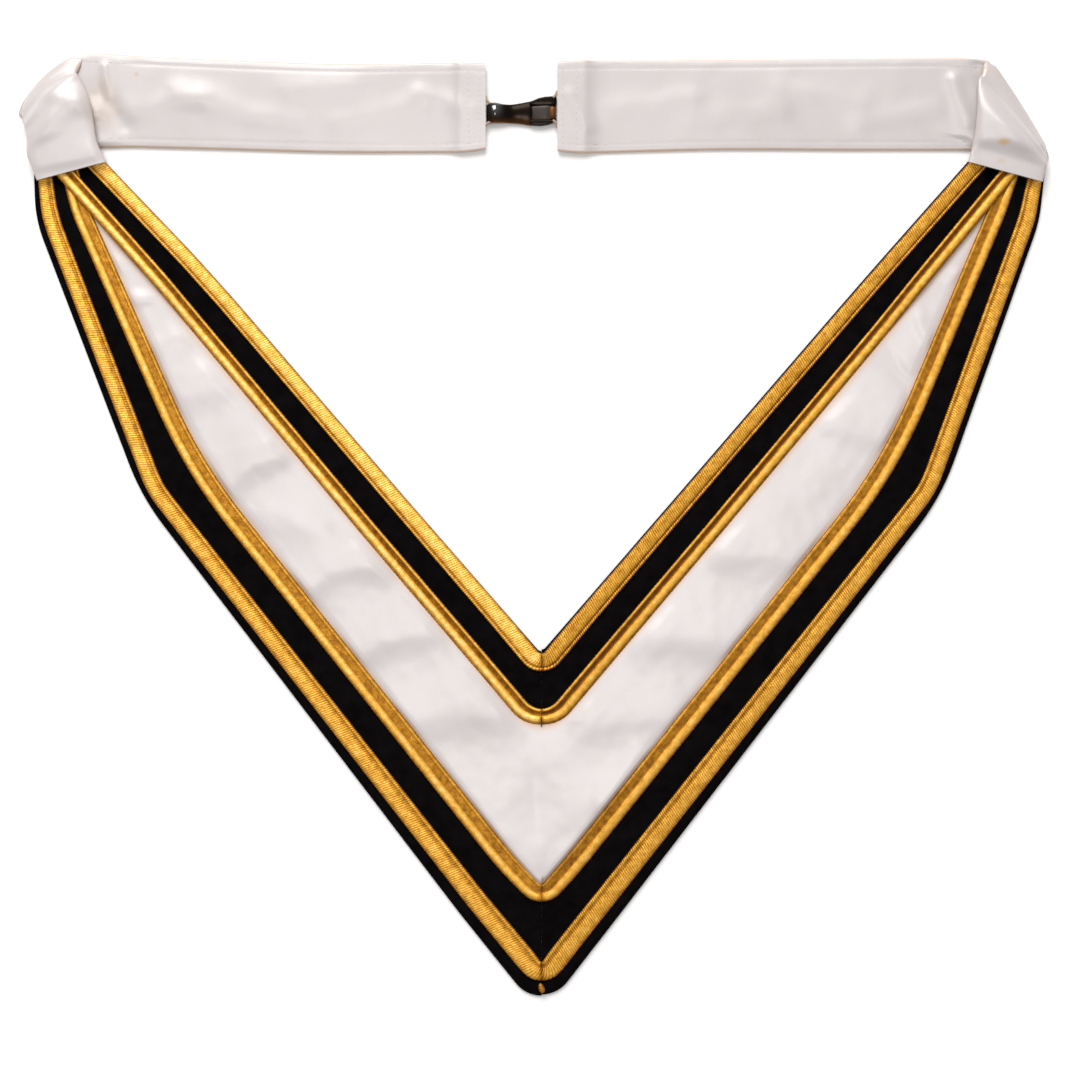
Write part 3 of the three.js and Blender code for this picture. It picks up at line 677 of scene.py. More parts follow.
def braid(half, name, line):
    node, section, thread, loop_pitch, tones_and_painted_half_shade, seam_rows = BRAID_MAKES[name]
    sign = half["sign"]
    # Each half gets its own copy of the gold; the right half's lower lift is painted shade.
    material = gold_thread(f"{name} {half['name']} gold braid", *thread, tones_and_painted_half_shade[sign > 0])
    length = sum((b[0] - a[0]).length for a, b in zip(line["stops"], line["stops"][1:]))
    steps = int(length / BRAID_STEP)
    stations = evened(line["stops"], steps)
    ring = BRAID_COLUMNS + 2
    seam_top, seam_low = (from_photo(0, row)[1] for row in seam_rows)
    seam_shift = (seam_top + seam_low) / 2 - stations[0][0].y
    seam_width = (seam_top - seam_low) / (line["width"] * line["rows"][0][line["column"]])

    def parts(u, v):
        column = round(u * ring)
        under = column == BRAID_COLUMNS + 1
        across = 0.5 if under else (0.0 if column == ring else column / BRAID_COLUMNS)
        return stations[round(v * steps)], across, under

    def spot(u, v):
        (point, way, row, gone), across, under = parts(u, v)
        wave = EDGE_LOOP * abs(math.sin(math.pi * gone / loop_pitch))
        wave *= 1 + 0.5 * uneven(gone, sign, 3)
        low_edge, top_edge = (across - 1 + EDGE_SHARE) / EDGE_SHARE, (EDGE_SHARE - across) / EDGE_SHARE
        edge = (smooth(low_edge) - smooth(top_edge)) * wave
        width = (width_at(line, row) - EDGE_LOOP_ROOM) * mix(1, seam_width, fading_by(gone, SEAM_WIDTH_REACH))
        side = point + right_of(way) * ((across - 0.5) * width + edge)
        side.y += seam_shift * fading_by(gone, SEAM_PLACE_REACH)
        base = TRIM_BASE + BRAID_CLEAR
        if name == "inner":
            base += LAYER_STEP * between(line["rows"], "lift", row)
        height = 0.0 if under else section_height(section, across) * (BRAID_THICKNESS - BRAID_CLEAR)
        height *= 1 - SEAM_DIP * fading_by(gone, SEAM_DIP_REACH)
        height *= 1 + BRAID_LUMP * uneven(gone * 0.25, across * 2, sign)
        x = max(side.x, 0.05)
        return place(sign * x, side.y, base + height)

    def lay(u, v):
        (_, _, row, gone), across, _ = parts(u, v)
        return across * width_at(line, row), gone * sign

    # The crown mark is the section's height; the gold paints it as light on ribs and shade in grooves.
    def crown(u, v):
        (_, _, _, gone), across, under = parts(u, v)
        # Near the seam the crown mark is lowered: painted shade in the pinch.
        pinched = 1 - SEAM_SHADE * fading_by(gone, SEAM_SHADE_REACH)
        return 0.0 if under else section_height(section, across) * pinched

    maker = laid_round(ring, steps, spot, lay, (("crown", crown),))
    node = f"{node}_{half['name']}"
    finished(f"{node}_threads", maker, material, (node,))


# Velvet body.
BODY_EDGE = 1.1
VELVET_COLUMNS = 18
VELVET_STEPS = 240


def velvet_half(half):
    inner = inset(neck_corners(half), [NECK_LIP - half["bare"]] * len(NECK_ROWS))
    inner_line = evened(rounded(lapped(inner), TURNS["neck"]), VELVET_STEPS)
    outer = outer_corners(half)
    outer[-2].x += half["cuff"]
    outer[-1].x += half["cuff"]
    outer_line = evened(rounded(lapped(outer), TURNS["body"]), VELVET_STEPS)
    ring = 2 * VELVET_COLUMNS
    sign = half["sign"]

    def spot(u, v):
        column = round(u * ring) % ring
        over = column <= VELVET_COLUMNS
        share = column / VELVET_COLUMNS if over else (ring - column) / VELVET_COLUMNS
        rolled = 0.5 - 0.5 * math.cos(math.pi * share)
        station = round(v * VELVET_STEPS)
        near, far = inner_line[station][0], outer_line[station][0]
        at = near.lerp(far, rolled)
        edge = min(rolled, 1 - rolled) * (far - near).length
        thick = BODY_TOP / 2 * math.sqrt(max(0.0, 1 - max(0.0, 1 - edge / BODY_EDGE) ** 2))
        lump = 0.05 * uneven(at.x * 0.12, at.y * 0.12, sign) if over else 0.0
        z = BODY_TOP / 2 + (thick + lump if over else -thick)
        return place(sign * max(at.x, 0.02), at.y, z)

    node = f"velvet_{half['name']}"
    finished(f"{node}_pile", laid_round(ring, VELVET_STEPS, spot), VELVET, (node,))


# Relief of soft cloth.
def crest_lines(crests):
    """Crests as (places in millimetres, gentle width, steep width, height), from their photo pixels."""
    return [
        ([Vector(from_photo(*pixels)) for pixels in line], above * PIXEL, below * PIXEL, height)
        for line, above, below, height in crests
    ]


def relief(x, y, crests):
    """The height in millimetres that the crests of soft folds give a place, gentle above and steep below."""
    total = 0.0
    for line, above, below, height in crests:
        nearest, side = 1e9, 0.0
        for a, b in zip(line, line[1:]):
            dx, dy = b.x - a.x, b.y - a.y
            share = min(1.0, max(0.0, ((x - a.x) * dx + (y - a.y) * dy) / (dx * dx + dy * dy)))
            away = math.hypot(x - a.x - share * dx, y - a.y - share * dy)
            if away < nearest:
                nearest, side = away, dx * (y - a.y) - dy * (x - a.x)
        width = mix(below, above, smooth(0.5 + side / (abs(side) + 8.0) / 2))
        if nearest < 2.5 * width:
            total += height * fading_by(nearest, width)
    return total


# Satin field.
# Crests of the soft folds, left to right in photo pixels: line, gentle width, steep width, height in mm.
FIELD_CRESTS = (
    (((108, 262), (136, 260)), 9, 10, 0.8),
    (((130, 302), (168, 294)), 10, 7, 0.9),
    (((158, 350), (205, 322)), 16, 12, 0.9),
    (((168, 396), (205, 382), (245, 380)), 34, 24, 1.9),
    (((226, 488), (250, 462), (296, 448)), 34, 16, 1.8),
    (((268, 512), (320, 530)), 14, 18, 0.7),
    (((298, 596), (324, 572), (357, 564), (392, 566)), 24, 16, 1.8),
    (((352, 658), (380, 640), (440, 628)), 24, 16, 1.5),
    (((405, 724), (450, 708), (496, 712)), 32, 22, 1.6),
    (((590, 722), (630, 720), (672, 714)), 30, 20, 1.5),
    (((604, 800), (640, 752)), 14, 12, 1.3),
    (((636, 634), (684, 636), (742, 644)), 32, 20, 1.7),
    (((722, 550), (760, 552), (806, 556)), 34, 20, 1.6),
    (((818, 416), (858, 430), (896, 440)), 34, 16, 1.4),
    (((880, 350), (914, 392)), 8, 8, -0.9),
    (((914, 312), (932, 348)), 8, 6, 0.7),
    (((936, 272), (962, 276)), 8, 8, 0.6),
    (((490, 846), (541, 880), (590, 836)), 80, 30, 3.2),
    (((546, 872), (552, 846), (562, 836)), 10, 10, -0.5),
    (((535, 780), (537, 830)), 14, 14, -0.3),
)
FIELD_LINES = crest_lines(FIELD_CRESTS)
SATIN_COLUMNS = 72
SATIN_STEPS = 300
SATIN_UNDER = 1.3
SATIN_BASE = 2.62
SATIN_PUFF = 0.6
SATIN_LOWEST = 2.6
# How far in from the inner and the outer braid the folds and the puff reach their full height.
FOLDS_FULL = (9.0, 3.0)
PUFF_FULL = (18.0, 6.0)
SATIN_NARROWEST = 0.8
PAINTED_SHADE_REACH = 4.0
SIDE_STEPS = 600


def satin_edge(line, way):
    """The satin's edge under one side of a braid."""
    side = []
    for point, ahead, spot, _ in evened(line["stops"], SIDE_STEPS):
        side.append(point + right_of(ahead) * way * (width_at(line, spot) / 2 - SATIN_UNDER))
    return side


def satin_half(half, lines):
    sign = half["sign"]
    outer_side = satin_edge(lines["field"], -1)
    inner_kept = []
    for point in satin_edge(lines["inner"], 1):
        near = min(outer_side, key=lambda other: abs(other.y - point.y))
        if inner_kept and near.x - point.x < SATIN_NARROWEST and point.y > SHOULDER[1]:
            break
        inner_kept.append(point)
    outer_kept = [point for point in outer_side if point.y <= inner_kept[-1].y]
    inner_line = evened([(point, 0) for point in inner_kept], SATIN_STEPS)
    outer_line = evened([(point, 0) for point in outer_kept], SATIN_STEPS)

    def spot(u, v):
        station = round(v * SATIN_STEPS)
        inner, outer = inner_line[station][0], outer_line[station][0]
        at = inner.lerp(outer, u)
        span = (outer - inner).length
        from_inner, from_outer = u * span - SATIN_UNDER, (1 - u) * span - SATIN_UNDER
        rise, puff = (smooth(from_inner / a) * smooth(from_outer / b) for a, b in (FOLDS_FULL, PUFF_FULL))
        x = sign * max(at.x, 0.0)
        folds = relief(x, at.y, FIELD_LINES)
        soft = 0.45 * uneven(x * 0.05, at.y * 0.05, 7.0)
        fine = 0.12 * uneven(x * 0.16, at.y * 0.16, 2.0)
        z = SATIN_BASE + puff * (SATIN_PUFF + soft) + rise * (folds + fine)
        return place(x, at.y, max(z, SATIN_LOWEST))

    # The hem mark is painted warm shade beside the braids, strongest at the satin's edge.
    def hem(u, v):
        station = round(v * SATIN_STEPS)
        span = (outer_line[station][0] - inner_line[station][0]).length
        return max(0.0, min(1.0, 1 - (min(u, 1 - u) * span - SATIN_UNDER) / PAINTED_SHADE_REACH)) ** 1.5

    maker = laid_grid(SATIN_COLUMNS, SATIN_STEPS, spot, marks=(("hem", hem),))
    if sign < 0:
        bmesh.ops.reverse_faces(maker, faces=maker.faces)
    for edge in maker.edges:
        edge.smooth = not edge.is_boundary
    area = sum(face.calc_area() for face in maker.faces)
    node = f"satin_{half['name']}"
    piece = finished(f"{node}_cloth", maker, FIELD_SATIN, (node,))
    wall = piece.modifiers.new("cloth wall", "SOLIDIFY")
    wall.thickness = 0.25 * MM
    wall.offset = -1


# Neck straps.
STRAP_WIDTH = 40.0
STRAP_THICKNESS = 1.6
STRAP_ABOVE_ARM = 6.5
STRAP_FOLD_RADIUS = 1.5
STRAP_PUFF = 3.0
STRAP_SWELL = 0.18
CLASP_GAP = 33.0
CLASP_MIDDLE = -9.2
PLATE_LIFT = 1.5
FLAP_BASE = 5.9
STRAP_MIDDLE = NECK_DEPTH + STRAP_ABOVE_ARM + STRAP_WIDTH / 2

# Cross-lines of the level run: share of the way to the clasp, the upper edge's place out and up and the
# lower edge's, in strap widths, how puffed it is and how far the plate lifts it.
STRAP_LEVEL = {
    "left": (
        (1, 0, 0.485, 0, -0.505, 0, 1), (0.94, 0, 0.495, 0, -0.535, 0, 1), (0.87, 0, 0.495, 0, -0.535, 0, 0),
        (0.6, 0, 0.485, 0, -0.535, 0.15, 0), (0.3, 0, 0.53, 0, -0.5, 0.2, 0),
        (0.08, 0, 0.575, 0, -0.475, 0.2, 0), (0, 0.12, 0.605, 0.4, -0.445, 0.1, 0),
    ),
    "right": (
        (1, 0, 0.505, 0, -0.525, 0, 1), (0.94, 0, 0.52, 0, -0.545, 0, 1), (0.87, 0, 0.525, 0, -0.535, 0, 0),
        (0.6, 0, 0.53, 0, -0.505, 0.15, 0), (0.3, 0, 0.545, 0, -0.51, 0.15, 0),
        (0.1, 0, 0.55, 0, -0.51, 0.1, 0), (0, 0, 0.55, 0.4, -0.515, 0, 0),
    ),
}
# The fold's line: its upper end out and up, its lower end out and up, and how far it bows.
STRAP_FOLD = {"left": (0.32, 0.575, 1.0, -0.115, 0.09), "right": (0.245, 0.525, 0.925, -0.58, 0.02)}
FOLD_CORNER = 2.4
# How far the cloth's two edges are drawn in round the fold, outwards and upwards: upper edge, then lower.
FOLD_PINCH = {"left": ((1.4, -8.1), (-0.9, -3.2)), "right": ((-2.8, -7.0), (0, -0.5))}
# Cross-lines of the flap: share of the way down to the arm, how far its two edges and its middle move out,
# how far it has climbed onto the arm, and how puffed it is.
STRAP_FLAP = {
    "left": (
        (0.2, 0.075, -0.015, 0.03, 0.5, 0.8), (0.39, 0.01, -0.01, 0, 1, 1), (0.6, 0.025, 0.035, 0, 1, 0.5),
        (0.82, 0.05, 0.02, 0, 1, 0.1), (1, 0, 0, 0, 1, 0),
    ),
    "right": (
        (0.22, -0.07, 0.015, 0, 0.4, 0.6), (0.45, -0.025, 0.005, 0, 1, 0.8), (0.7, 0.01, 0, 0, 1, 0.3),
        (0.9, 0.01, 0, 0, 1, 0.05), (1, 0, 0, 0, 1, 0),
    ),
}
# Crests of the straps' folds, as the field's.
STRAP_CRESTS = {
    "left": crest_lines((
        (((26, 103), (38, 99), (50, 92), (62, 82), (72, 77)), 6, 5, 0.5),
        (((54, 97), (64, 94), (76, 104), (92, 114)), 12, 7, 1.2),
        (((62, 100), (54, 118), (44, 138)), 6, 6, 0.5), (((26, 128), (40, 111)), 3.5, 3.5, 0.8),
        (((32, 146), (48, 138), (62, 134)), 7, 6, 0.4),
        (((34, 168), (66, 162), (100, 154)), 18, 7, 1.2),
        (((104, 66), (108, 96)), 4, 4, 0.7), (((100, 92), (112, 108), (124, 124)), 9, 9, -1.0),
        (((130, 112), (200, 98)), 14, 12, 0.6), (((180, 92), (250, 116), (300, 122)), 14, 12, 0.7),
        (((290, 90), (350, 86)), 14, 12, 0.6), (((340, 122), (420, 106)), 14, 12, 0.6),
        (((420, 92), (470, 112)), 10, 10, 0.6),
    )),
    "right": crest_lines((
        (((955, 80), (960, 100), (967, 122)), 7, 8, 1.2), (((978, 64), (990, 70)), 6, 6, -0.9),
        (((982, 80), (998, 96)), 8, 8, -0.6),
        (((976, 139), (1000, 142), (1034, 148)), 26, 6, 1.5),
        (((976, 152), (1000, 158), (1040, 168)), 5, 6, -0.5),
        (((570, 96), (588, 126)), 8, 8, 0.6), (((610, 112), (690, 100)), 14, 12, 0.7),
        (((690, 120), (780, 110)), 14, 12, 0.6), (((780, 90), (860, 104)), 14, 12, 0.6),
        (((860, 122), (936, 108)), 12, 12, 0.6),
    )),
}
COURSE_STEP = 1.2
HEM_IN = 3.7
HEM_DEPTH = 0.22
HEM_GROOVE = 0.55
STRAP_RING_TOP = 48
STRAP_RING_UNDER = 16


def strap_lines(half):
    """The cross-lines of a strap from its clasp end to its sewn end, as dictionaries."""
    name, sign = half["name"], half["sign"]
    corner = arm_corner(half)
    clasp_end = sign * CLASP_MIDDLE + CLASP_GAP / 2
    on_table = STRAP_THICKNESS / 2

    def at(out, up, to_clasp):
        x = mix(corner.x + out * STRAP_WIDTH, clasp_end, to_clasp)
        return Vector((x, STRAP_MIDDLE + up * STRAP_WIDTH))

    def lay(top, low, height, turn=0.0, bow=0.0, crown=0.0):
        line = {"top": top, "low": low, "height": height, "turn": turn}
        lines.append({**line, "bow": bow * STRAP_WIDTH, "crown": crown * STRAP_PUFF})

    lines = []
    for to_clasp, top_out, top_up, low_out, low_up, crown, lift in STRAP_LEVEL[name]:
        top, low = at(top_out, top_up, to_clasp), at(low_out, low_up, to_clasp)
        lay(top, low, on_table + lift * PLATE_LIFT, crown=crown)
    top_out, top_up, low_out, low_up, bow = STRAP_FOLD[name]
    fold_top, fold_low = at(top_out, top_up, 0), at(low_out, low_up, 0)
    top_pinch, low_pinch = (Vector(pinch) for pinch in FOLD_PINCH[name])
    for degrees in (0, 45, 90, 135, 180):
        turn = math.radians(degrees)
        drawn = ((1 - math.cos(turn)) / 2) ** 2.5
        height = on_table + STRAP_FOLD_RADIUS * (1 - math.cos(turn))
        lay(fold_top + top_pinch * drawn, fold_low + low_pinch * drawn, height, turn, bow)
    arm_outer = corner + ARM_END_WAY * (ARM_END_WIDTH * half["arm_end"] - OUTER_LIP / 2)
    folded = on_table + 2 * STRAP_FOLD_RADIUS
    for down, top_out, low_out, bow, climb, crown in STRAP_FLAP[name]:
        top = fold_top.lerp(corner, down) + Vector((top_out * STRAP_WIDTH, 0))
        low = fold_low.lerp(arm_outer, down) + Vector((low_out * STRAP_WIDTH, 0))
        lay(top, low, mix(folded, FLAP_BASE + on_table, climb), math.pi, bow, crown)
    return lines


def curved(a, b, c, d, share):
    """A smooth course from b to c, with a before and d after them."""
    s2, s3 = share * share, share * share * share
    return 0.5 * ((2 * b) + (c - a) * share + (2 * a - 5 * b + 4 * c - d) * s2 + (3 * b - a - 3 * c + d) * s3)


def round_angle(u, ring):
    return 2 * math.pi * (round(u * ring) % ring) / ring


def four_round(rows, i):
    """Rows i and i + 1 with the ones before and after them."""
    return [rows[min(max(j, 0), len(rows) - 1)] for j in (i - 1, i, i + 1, i + 2)]


class StrapCloth:
    """The course of one strap's cloth, which its mesh and its stitches share."""

    def __init__(self, half):
        self.half = half
        self.lines = strap_lines(half)
        self.corner_x = arm_corner(half).x
        self.crests = STRAP_CRESTS[half["name"]]
        self.knots = []
        self.gone = []
        total, last = 0.0, None
        for i in range(len(self.lines) - 1):
            a, b = self.lines[i], self.lines[i + 1]
            run = ((a["top"] + a["low"]) / 2 - (b["top"] + b["low"]) / 2).length
            turning = abs(b["turn"] - a["turn"]) * STRAP_FOLD_RADIUS
            parts = max(5, math.ceil((run + turning) / COURSE_STEP))
            self.knots += [i + k / parts for k in range(parts)]
        self.knots.append(len(self.lines) - 1.0)
        for t in self.knots:
            now = self.line(t)
            middle = Vector(((now["top"] + now["low"]) / 2)[:] + (now["height"],))
            if last is not None:
                total += (middle - last).length
            self.gone.append(total)
            last = middle

    def line(self, t):
        i = min(int(t), len(self.lines) - 2)
        share = t - i
        four = four_round(self.lines, i)
        made = {key: curved(*(row[key] for row in four), share) for key in ("top", "low", "bow", "crown")}
        made["height"] = mix(four[1]["height"], four[2]["height"], smooth(share))
        made["turn"] = mix(four[1]["turn"], four[2]["turn"], share)
        made["crown"] = max(0.0, made["crown"])
        return made

    def spot(self, across, t, side):
        """side is 1 on the face and -1 on the back, and less near the rounded edges."""
        line = self.line(t)
        down = (line["low"] - line["top"]).normalized()
        outward = Vector((-down.y, down.x))
        bulge = 4 * across * (1 - across)
        wide = (line["low"] - line["top"]).length
        edge = min(across, 1 - across) * wide
        rounding = math.sqrt(max(0.0, 1 - max(0.0, 1 - edge / (STRAP_THICKNESS / 2)) ** 2))
        depth = side * STRAP_THICKNESS / 2 * rounding
        corner = FOLD_CORNER * fading_by(edge, FOLD_CORNER)
        out = line["bow"] * bulge + (STRAP_FOLD_RADIUS - depth - corner) * math.sin(line["turn"])
        at = line["top"].lerp(line["low"], across) + outward * out
        z = line["height"] + line["crown"] * bulge + depth * math.cos(line["turn"])
        x = self.half["sign"] * at.x
        flap = line["turn"] > math.pi / 2
        if flap or side > 0:
            inside = smooth(edge / 3.0)
            level = smooth((self.corner_x - at.x - 4.0) / 12.0) if line["turn"] == 0 else 0.0
            hem = level * fading_by(edge - HEM_IN, HEM_GROOVE)
            fine = 0.12 * uneven(x * 0.1, at.y * 0.1, 5.0)
            flat = math.sin(line["turn"]) if line["turn"] < math.pi else 0.0
            push = inside * (relief(x, at.y, self.crests) + fine + STRAP_SWELL) - HEM_DEPTH * hem
            z += push * (1 - flat)
        return place(x, at.y, max(z, 0.02 if side < 0 else 0.1))


def strap(half, cloth):
    name = f"strap_{half['name']}"
    steps = len(cloth.knots) - 1
    ring = STRAP_RING_TOP + STRAP_RING_UNDER

    def parts(u):
        column = round(u * ring) % ring
        if column <= STRAP_RING_TOP:
            return 0.5 - 0.5 * math.cos(math.pi * column / STRAP_RING_TOP), 1
        return 0.5 + 0.5 * math.cos(math.pi * (column - STRAP_RING_TOP) / STRAP_RING_UNDER), -1

    def spot(u, v):
        across, side = parts(u)
        return cloth.spot(across, cloth.knots[round(v * steps)], side)

    def lay(u, v):
        return parts(u)[0] * STRAP_WIDTH, cloth.gone[round(v * steps)]

    # The hem mark is painted shade and painted reflection along the strap's rims, weaker on the fold and
    # flap, with a little painted shade over the fold's turn.
    def hem(u, v):
        across, _ = parts(u)
        turn = cloth.line(cloth.knots[round(v * steps)])["turn"]
        edge = max(0.0, 1 - (1 - across) * STRAP_WIDTH / 1.1, 0.7 - across * STRAP_WIDTH / 1.2)
        return edge * (0.35 if turn > 0 else 1) + 0.08 * math.sin(turn)

    maker = laid_round(ring, steps, spot, lay, (("hem", hem),))
    piece = finished(f"{name}_cloth", maker, STRAP_SATIN[half["name"]], (name,))


# Stitches.
STITCH_PITCH = 3.4
FIRST_STITCH = 3.0
# Length and thickness of a stitch.
HEM_STITCH = (1.9, 0.22)
END_STITCH = (1.5, 0.26)
END_SEAMS = (2.2, 7.5)
END_STITCHES = 15


def stitch_row(maker, points, length, thick):
    """Short threads laid end to end along points, each a slim rounded bead."""
    for a, b in zip(points, points[1:]):
        way = b - a
        if way.length < 1e-6:
            continue
        made = bmesh.ops.create_icosphere(maker, subdivisions=1, radius=0.5)
        turn = way.to_track_quat("X", "Z").to_matrix()
        middle = (a + b) / 2
        for vertex in made["verts"]:
            local = Vector((vertex.co.x * length * MM, vertex.co.y * thick * MM, vertex.co.z * thick * MM))
            vertex.co = middle + turn @ local


def strap_stitches(half, cloth):
    maker = bmesh.new()
    for across in (HEM_IN / STRAP_WIDTH, 1 - HEM_IN / STRAP_WIDTH):
        points = []
        target = FIRST_STITCH
        for t, gone in zip(cloth.knots, cloth.gone):
            if gone >= target and cloth.line(t)["turn"] == 0:
                points.append(cloth.spot(across, t, 1) + Vector((0, 0, 0.04 * MM)))
                target = gone + STITCH_PITCH
        stitch_row(maker, points, *HEM_STITCH)
    for inward in END_SEAMS:
        t = next(t for t, gone in zip(cloth.knots, cloth.gone) if gone >= inward)
        up = Vector((0, 0, 0.06 * MM))
        points = [cloth.spot(k / END_STITCHES, t, 1) + up for k in range(1, END_STITCHES)]
        stitch_row(maker, points, *END_STITCH)
    finished(f"strap_{half['name']}_stitches", maker, WHITE_THREAD)


# Hook and eye.
# The hook's shank and nose and the eye's bar: photo x, upper and lower edge, and thickness in millimetres.
SHANK_ROWS = (
    (486.4, 105.0, 120.5, 2.6), (489.0, 103.0, 122.6, 4.3), (495.5, 102.4, 123.0, 5.2),
    (503.0, 103.8, 122.8, 4.0), (512.0, 104.0, 123.0, 2.9), (522.0, 102.4, 123.8, 2.7),
    (530.0, 101.0, 125.2, 2.6), (535.0, 101.5, 124.8, 2.0),
)
NOSE_ROWS = (
    (531.0, 104.6, 120.6, 2.2), (537.0, 104.4, 120.8, 2.7),
    (545.0, 104.2, 120.8, 3.0), (550.5, 104.2, 120.6, 2.8),
)
# The eye's two limbs: place along, outer edge and inner edge.
EYE_UPPER = (
    (529.5, 101.6, 105.0), (534.0, 100.0, 105.0), (538.5, 98.0, 105.4),
    (545.0, 96.6, 105.2), (550.0, 96.3, 105.2), (556.4, 95.6, 105.2),
)
EYE_LOWER = (
    (529.5, 124.4, 120.0), (535.0, 125.4, 120.0), (541.0, 125.6, 120.0),
    (547.0, 124.6, 119.8), (551.5, 123.2, 119.8), (556.4, 120.8, 118.6),
)
EYE_BAR = ((549.8, 105.2, 119.6, 2.9), (552.5, 104.8, 119.8, 3.2), (556.2, 105.2, 119.2, 2.8))
# Where the lacquer is whole on the shank, in photo pixels.
LACQUER_PX = 496.0
LACQUER_WIDE = 5.0


def rounded_bar(rows, squareness, steps, glossy=0.0):
    """A bar along X whose section swells and tapers through the rows, closed at both ends."""
    ring = 24
    count = (len(rows) - 1) * steps

    def row_at(v):
        spot = v * (len(rows) - 1)
        i = min(int(spot), len(rows) - 2)
        return [curved(*(row[k] for row in four_round(rows, i)), spot - i) for k in range(4)]

    def spot(u, v):
        px, top, low, tall = row_at(v)
        angle = round_angle(u, ring)
        c, s = math.cos(angle), math.sin(angle)
        x, high = from_photo(px, top)
        _, deep = from_photo(px, low)
        across = math.copysign(abs(c) ** squareness, c) * (high - deep) / 2
        z = tall / 2 + math.copysign(abs(s) ** squareness, s) * tall / 2
        return place(x, (high + deep) / 2 + across, z + 0.05)

    # The underside mark drives the metal's painted brown reflection and shade.
    def underside(u, v):
        return max(0.0, -math.cos(2 * math.pi * u)) ** 3

    def lacquer(u, v):
        upper = max(0.0, math.cos(2 * math.pi * (u - 0.14)))
        return glossy * upper ** 2 * fading_by(row_at(v)[0] - LACQUER_PX, LACQUER_WIDE)

    return laid_round(ring, count, spot, marks=(("hem", underside), ("lacquer", lacquer)))


def eye_limb(maker, rows, tall):
    """One limb of the eye, a thick plate between its two edges with its rim rounded."""
    steps = len(rows) - 1
    part = bmesh.new()
    bmesh.ops.create_grid(part, x_segments=steps, y_segments=1, size=0.5)
    for vertex in part.verts:
        px, outer, inner = rows[round((vertex.co.x + 0.5) * steps)]
        x, y = from_photo(px, outer if vertex.co.y > 0 else inner)
        vertex.co = place(x, y, tall)
    bmesh.ops.recalc_face_normals(part, faces=part.faces)
    walls = bmesh.ops.extrude_face_region(part, geom=list(part.faces))
    for item in walls["geom"]:
        if isinstance(item, bmesh.types.BMVert):
            item.co.z = 0.1 * MM
    bmesh.ops.recalc_face_normals(part, faces=part.faces)
    sharp = [edge for edge in part.edges if len(edge.link_faces) == 2 and edge.calc_face_angle() > 0.6]
    bmesh.ops.bevel(part, geom=sharp, offset=0.5 * MM, segments=3, profile=0.5, affect="EDGES", material=-1)
    mesh = bpy.data.meshes.new("limb")
    part.to_mesh(mesh)
    part.free()
    maker.from_mesh(mesh)
    bpy.data.meshes.remove(mesh)


def clasp():
    shank = rounded_bar(SHANK_ROWS, 1.0, 6, 1.0)
    nose = rounded_bar(NOSE_ROWS, 0.5, 5)
    finished("hook_polished", shank, BLACK_METAL, ("hook",))
    finished("hook_nose", nose, WORN_METAL)
    eye = bmesh.new()
    eye_limb(eye, EYE_UPPER, 3.3)
    eye_limb(eye, EYE_LOWER, 3.0)
    finished("eye_polished", eye, BLACK_METAL, ("eye",))
    finished("eye_bar", rounded_bar(EYE_BAR, 0.8, 5), BRASS)


def bent_thread(name, rows, thick, material):
    """A short thread through places given as (photo x, photo y, height)."""
    points = [place(*from_photo(px, py), z) for px, py, z in rows]
    ring = 8
    count = (len(points) - 1) * 6

    def at(v):
        spot = v * (len(points) - 1)
        i = min(int(spot), len(points) - 2)
        return curved(*four_round(points, i), spot - i)

    def spot(u, v):
        here = at(v)
        way = (at(min(1, v + 0.01)) - at(max(0, v - 0.01))).normalized()
        side = way.cross(Vector((0, 0, 1))).normalized()
        up = side.cross(way)
        angle = round_angle(u, ring)
        return here + (side * math.cos(angle) + up * math.sin(angle)) * thick / 2 * MM

    finished(name, laid_round(ring, count, spot), material)


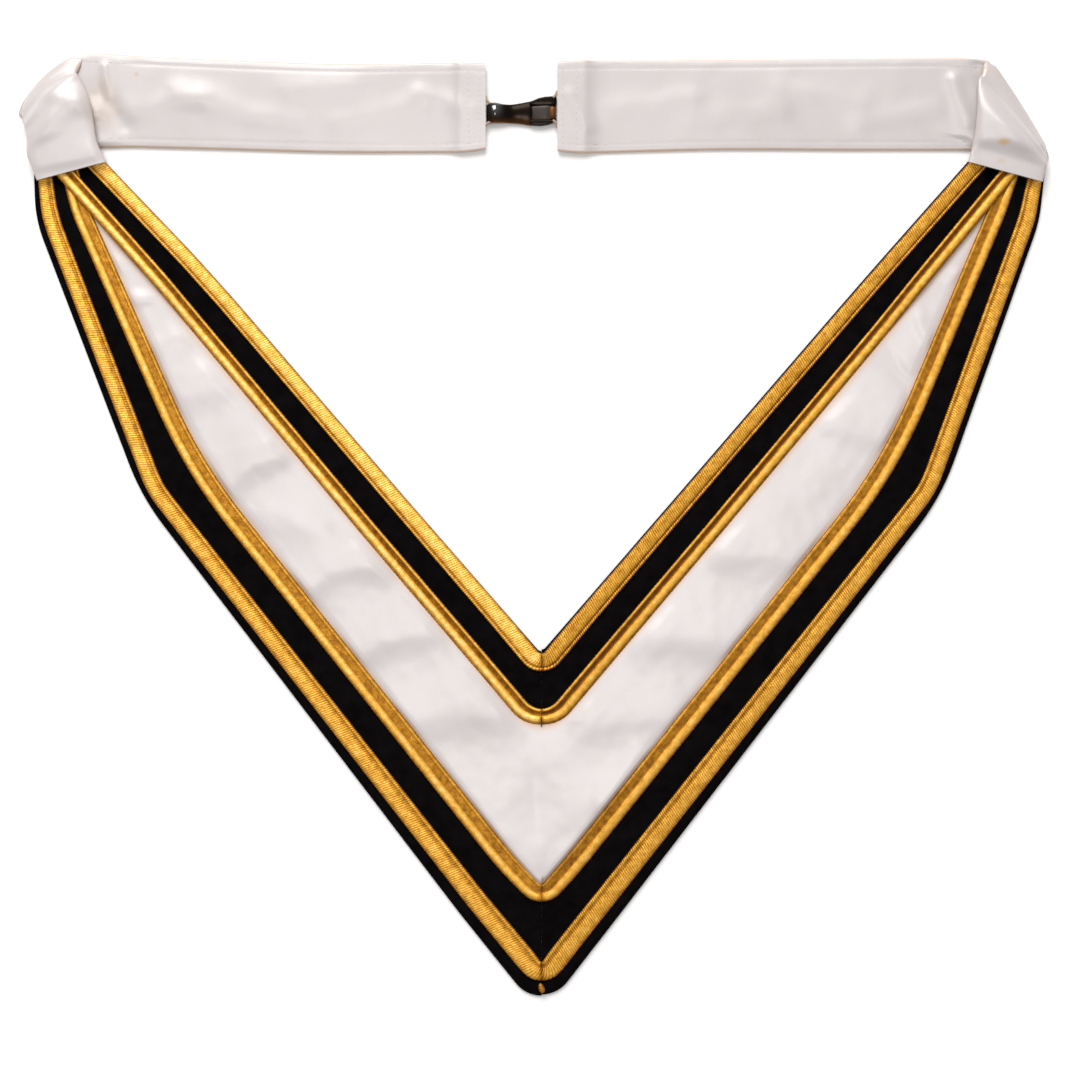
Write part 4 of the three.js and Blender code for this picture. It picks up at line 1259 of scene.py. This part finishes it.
# Knot at the point.
def point_knot():
    low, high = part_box("point_knot")
    middle = (low + high) / 2
    size = high - low
    maker = bmesh.new()
    bmesh.ops.create_uvsphere(maker, u_segments=28, v_segments=20, radius=0.5)
    for vertex in maker.verts:
        around = math.atan2(vertex.co.z, vertex.co.x)
        coil = 1 + 0.09 * math.sin(2 * math.pi * 4 * (vertex.co.y + 0.5) + around)
        vertex.co = Vector((
            middle.x + (vertex.co.x * coil * (0.85 - 0.2 * vertex.co.y) - 0.3 * vertex.co.y) * size.x,
            middle.y + vertex.co.y * size.y,
            middle.z + vertex.co.z * size.z * coil,
        ))
    cloth = maker.loops.layers.uv.new("cloth")
    for face in maker.faces:
        for corner in face.loops:
            corner[cloth].uv = (corner.vert.co.x / MM, corner.vert.co.y / MM)
    # The crown mark grows with height: painted light on the knot's top, painted shade on its lower sides.
    crown = maker.verts.layers.float.new("crown")
    for vertex in maker.verts:
        vertex[crown] = min(1.0, max(0.0, (vertex.co.z - low.z) / size.z))
    finished("point_knot_thread", maker, KNOTTED_GOLD, ("point_knot",))


# Making the collar.
floor_mesh = bpy.data.meshes.new("floor")
floor_maker = bmesh.new()
bmesh.ops.create_grid(floor_maker, x_segments=1, y_segments=1, size=3.0)
floor_maker.to_mesh(floor_mesh)
floor_maker.free()
floor = bpy.data.objects.new("floor", floor_mesh)
floor.location.z = -0.0002
scene.collection.objects.link(floor)
floor_material, floor_tree, floor_shader = new_material("studio paper")
feed(floor_tree, floor_shader, Base_Color=(0.97, 0.97, 0.97, 1), Roughness=0.9)
floor_mesh.materials.append(floor_material)

for half in HALVES:
    lines = braid_lines(half)
    velvet_half(half)
    satin_half(half, lines)
    for name, line in lines.items():
        braid(half, name, line)
    cloth = StrapCloth(half)
    strap(half, cloth)
    strap_stitches(half, cloth)

clasp()
point_knot()
# Tan loops at the clasp's corners: partly thread loops, partly painted shade where the strap's edge meets the
# hook.
THREAD_LOOPS_AND_SHADE = {
    "thread_loop_upper_left": ((485.4, 96, 2.4), (486.6, 100, 2.9), (490.0, 103.6, 3.0)),
    "thread_loop_lower_left": ((484.8, 128, 2.4), (486.2, 124.5, 2.9), (490.0, 121.5, 2.8)),
    "thread_loop_upper_right": ((557.0, 91, 2.4), (556.0, 94.6, 2.9), (553.0, 97.5, 3.0)),
    "thread_loop_lower_right": ((557.2, 127, 2.4), (556.2, 123.0, 2.9), (553.0, 120.0, 2.8)),
}
for name, rows in THREAD_LOOPS_AND_SHADE.items():
    bent_thread(name, rows, 1.2, LOOP_THREAD_AND_SHADE)
SEAM_THREAD = ((541.2, 716.5, 4.0), (541.3, 721, 4.1), (541.5, 726.5, 3.2))
bent_thread("seam_thread", SEAM_THREAD, 0.6, DARK_THREAD)
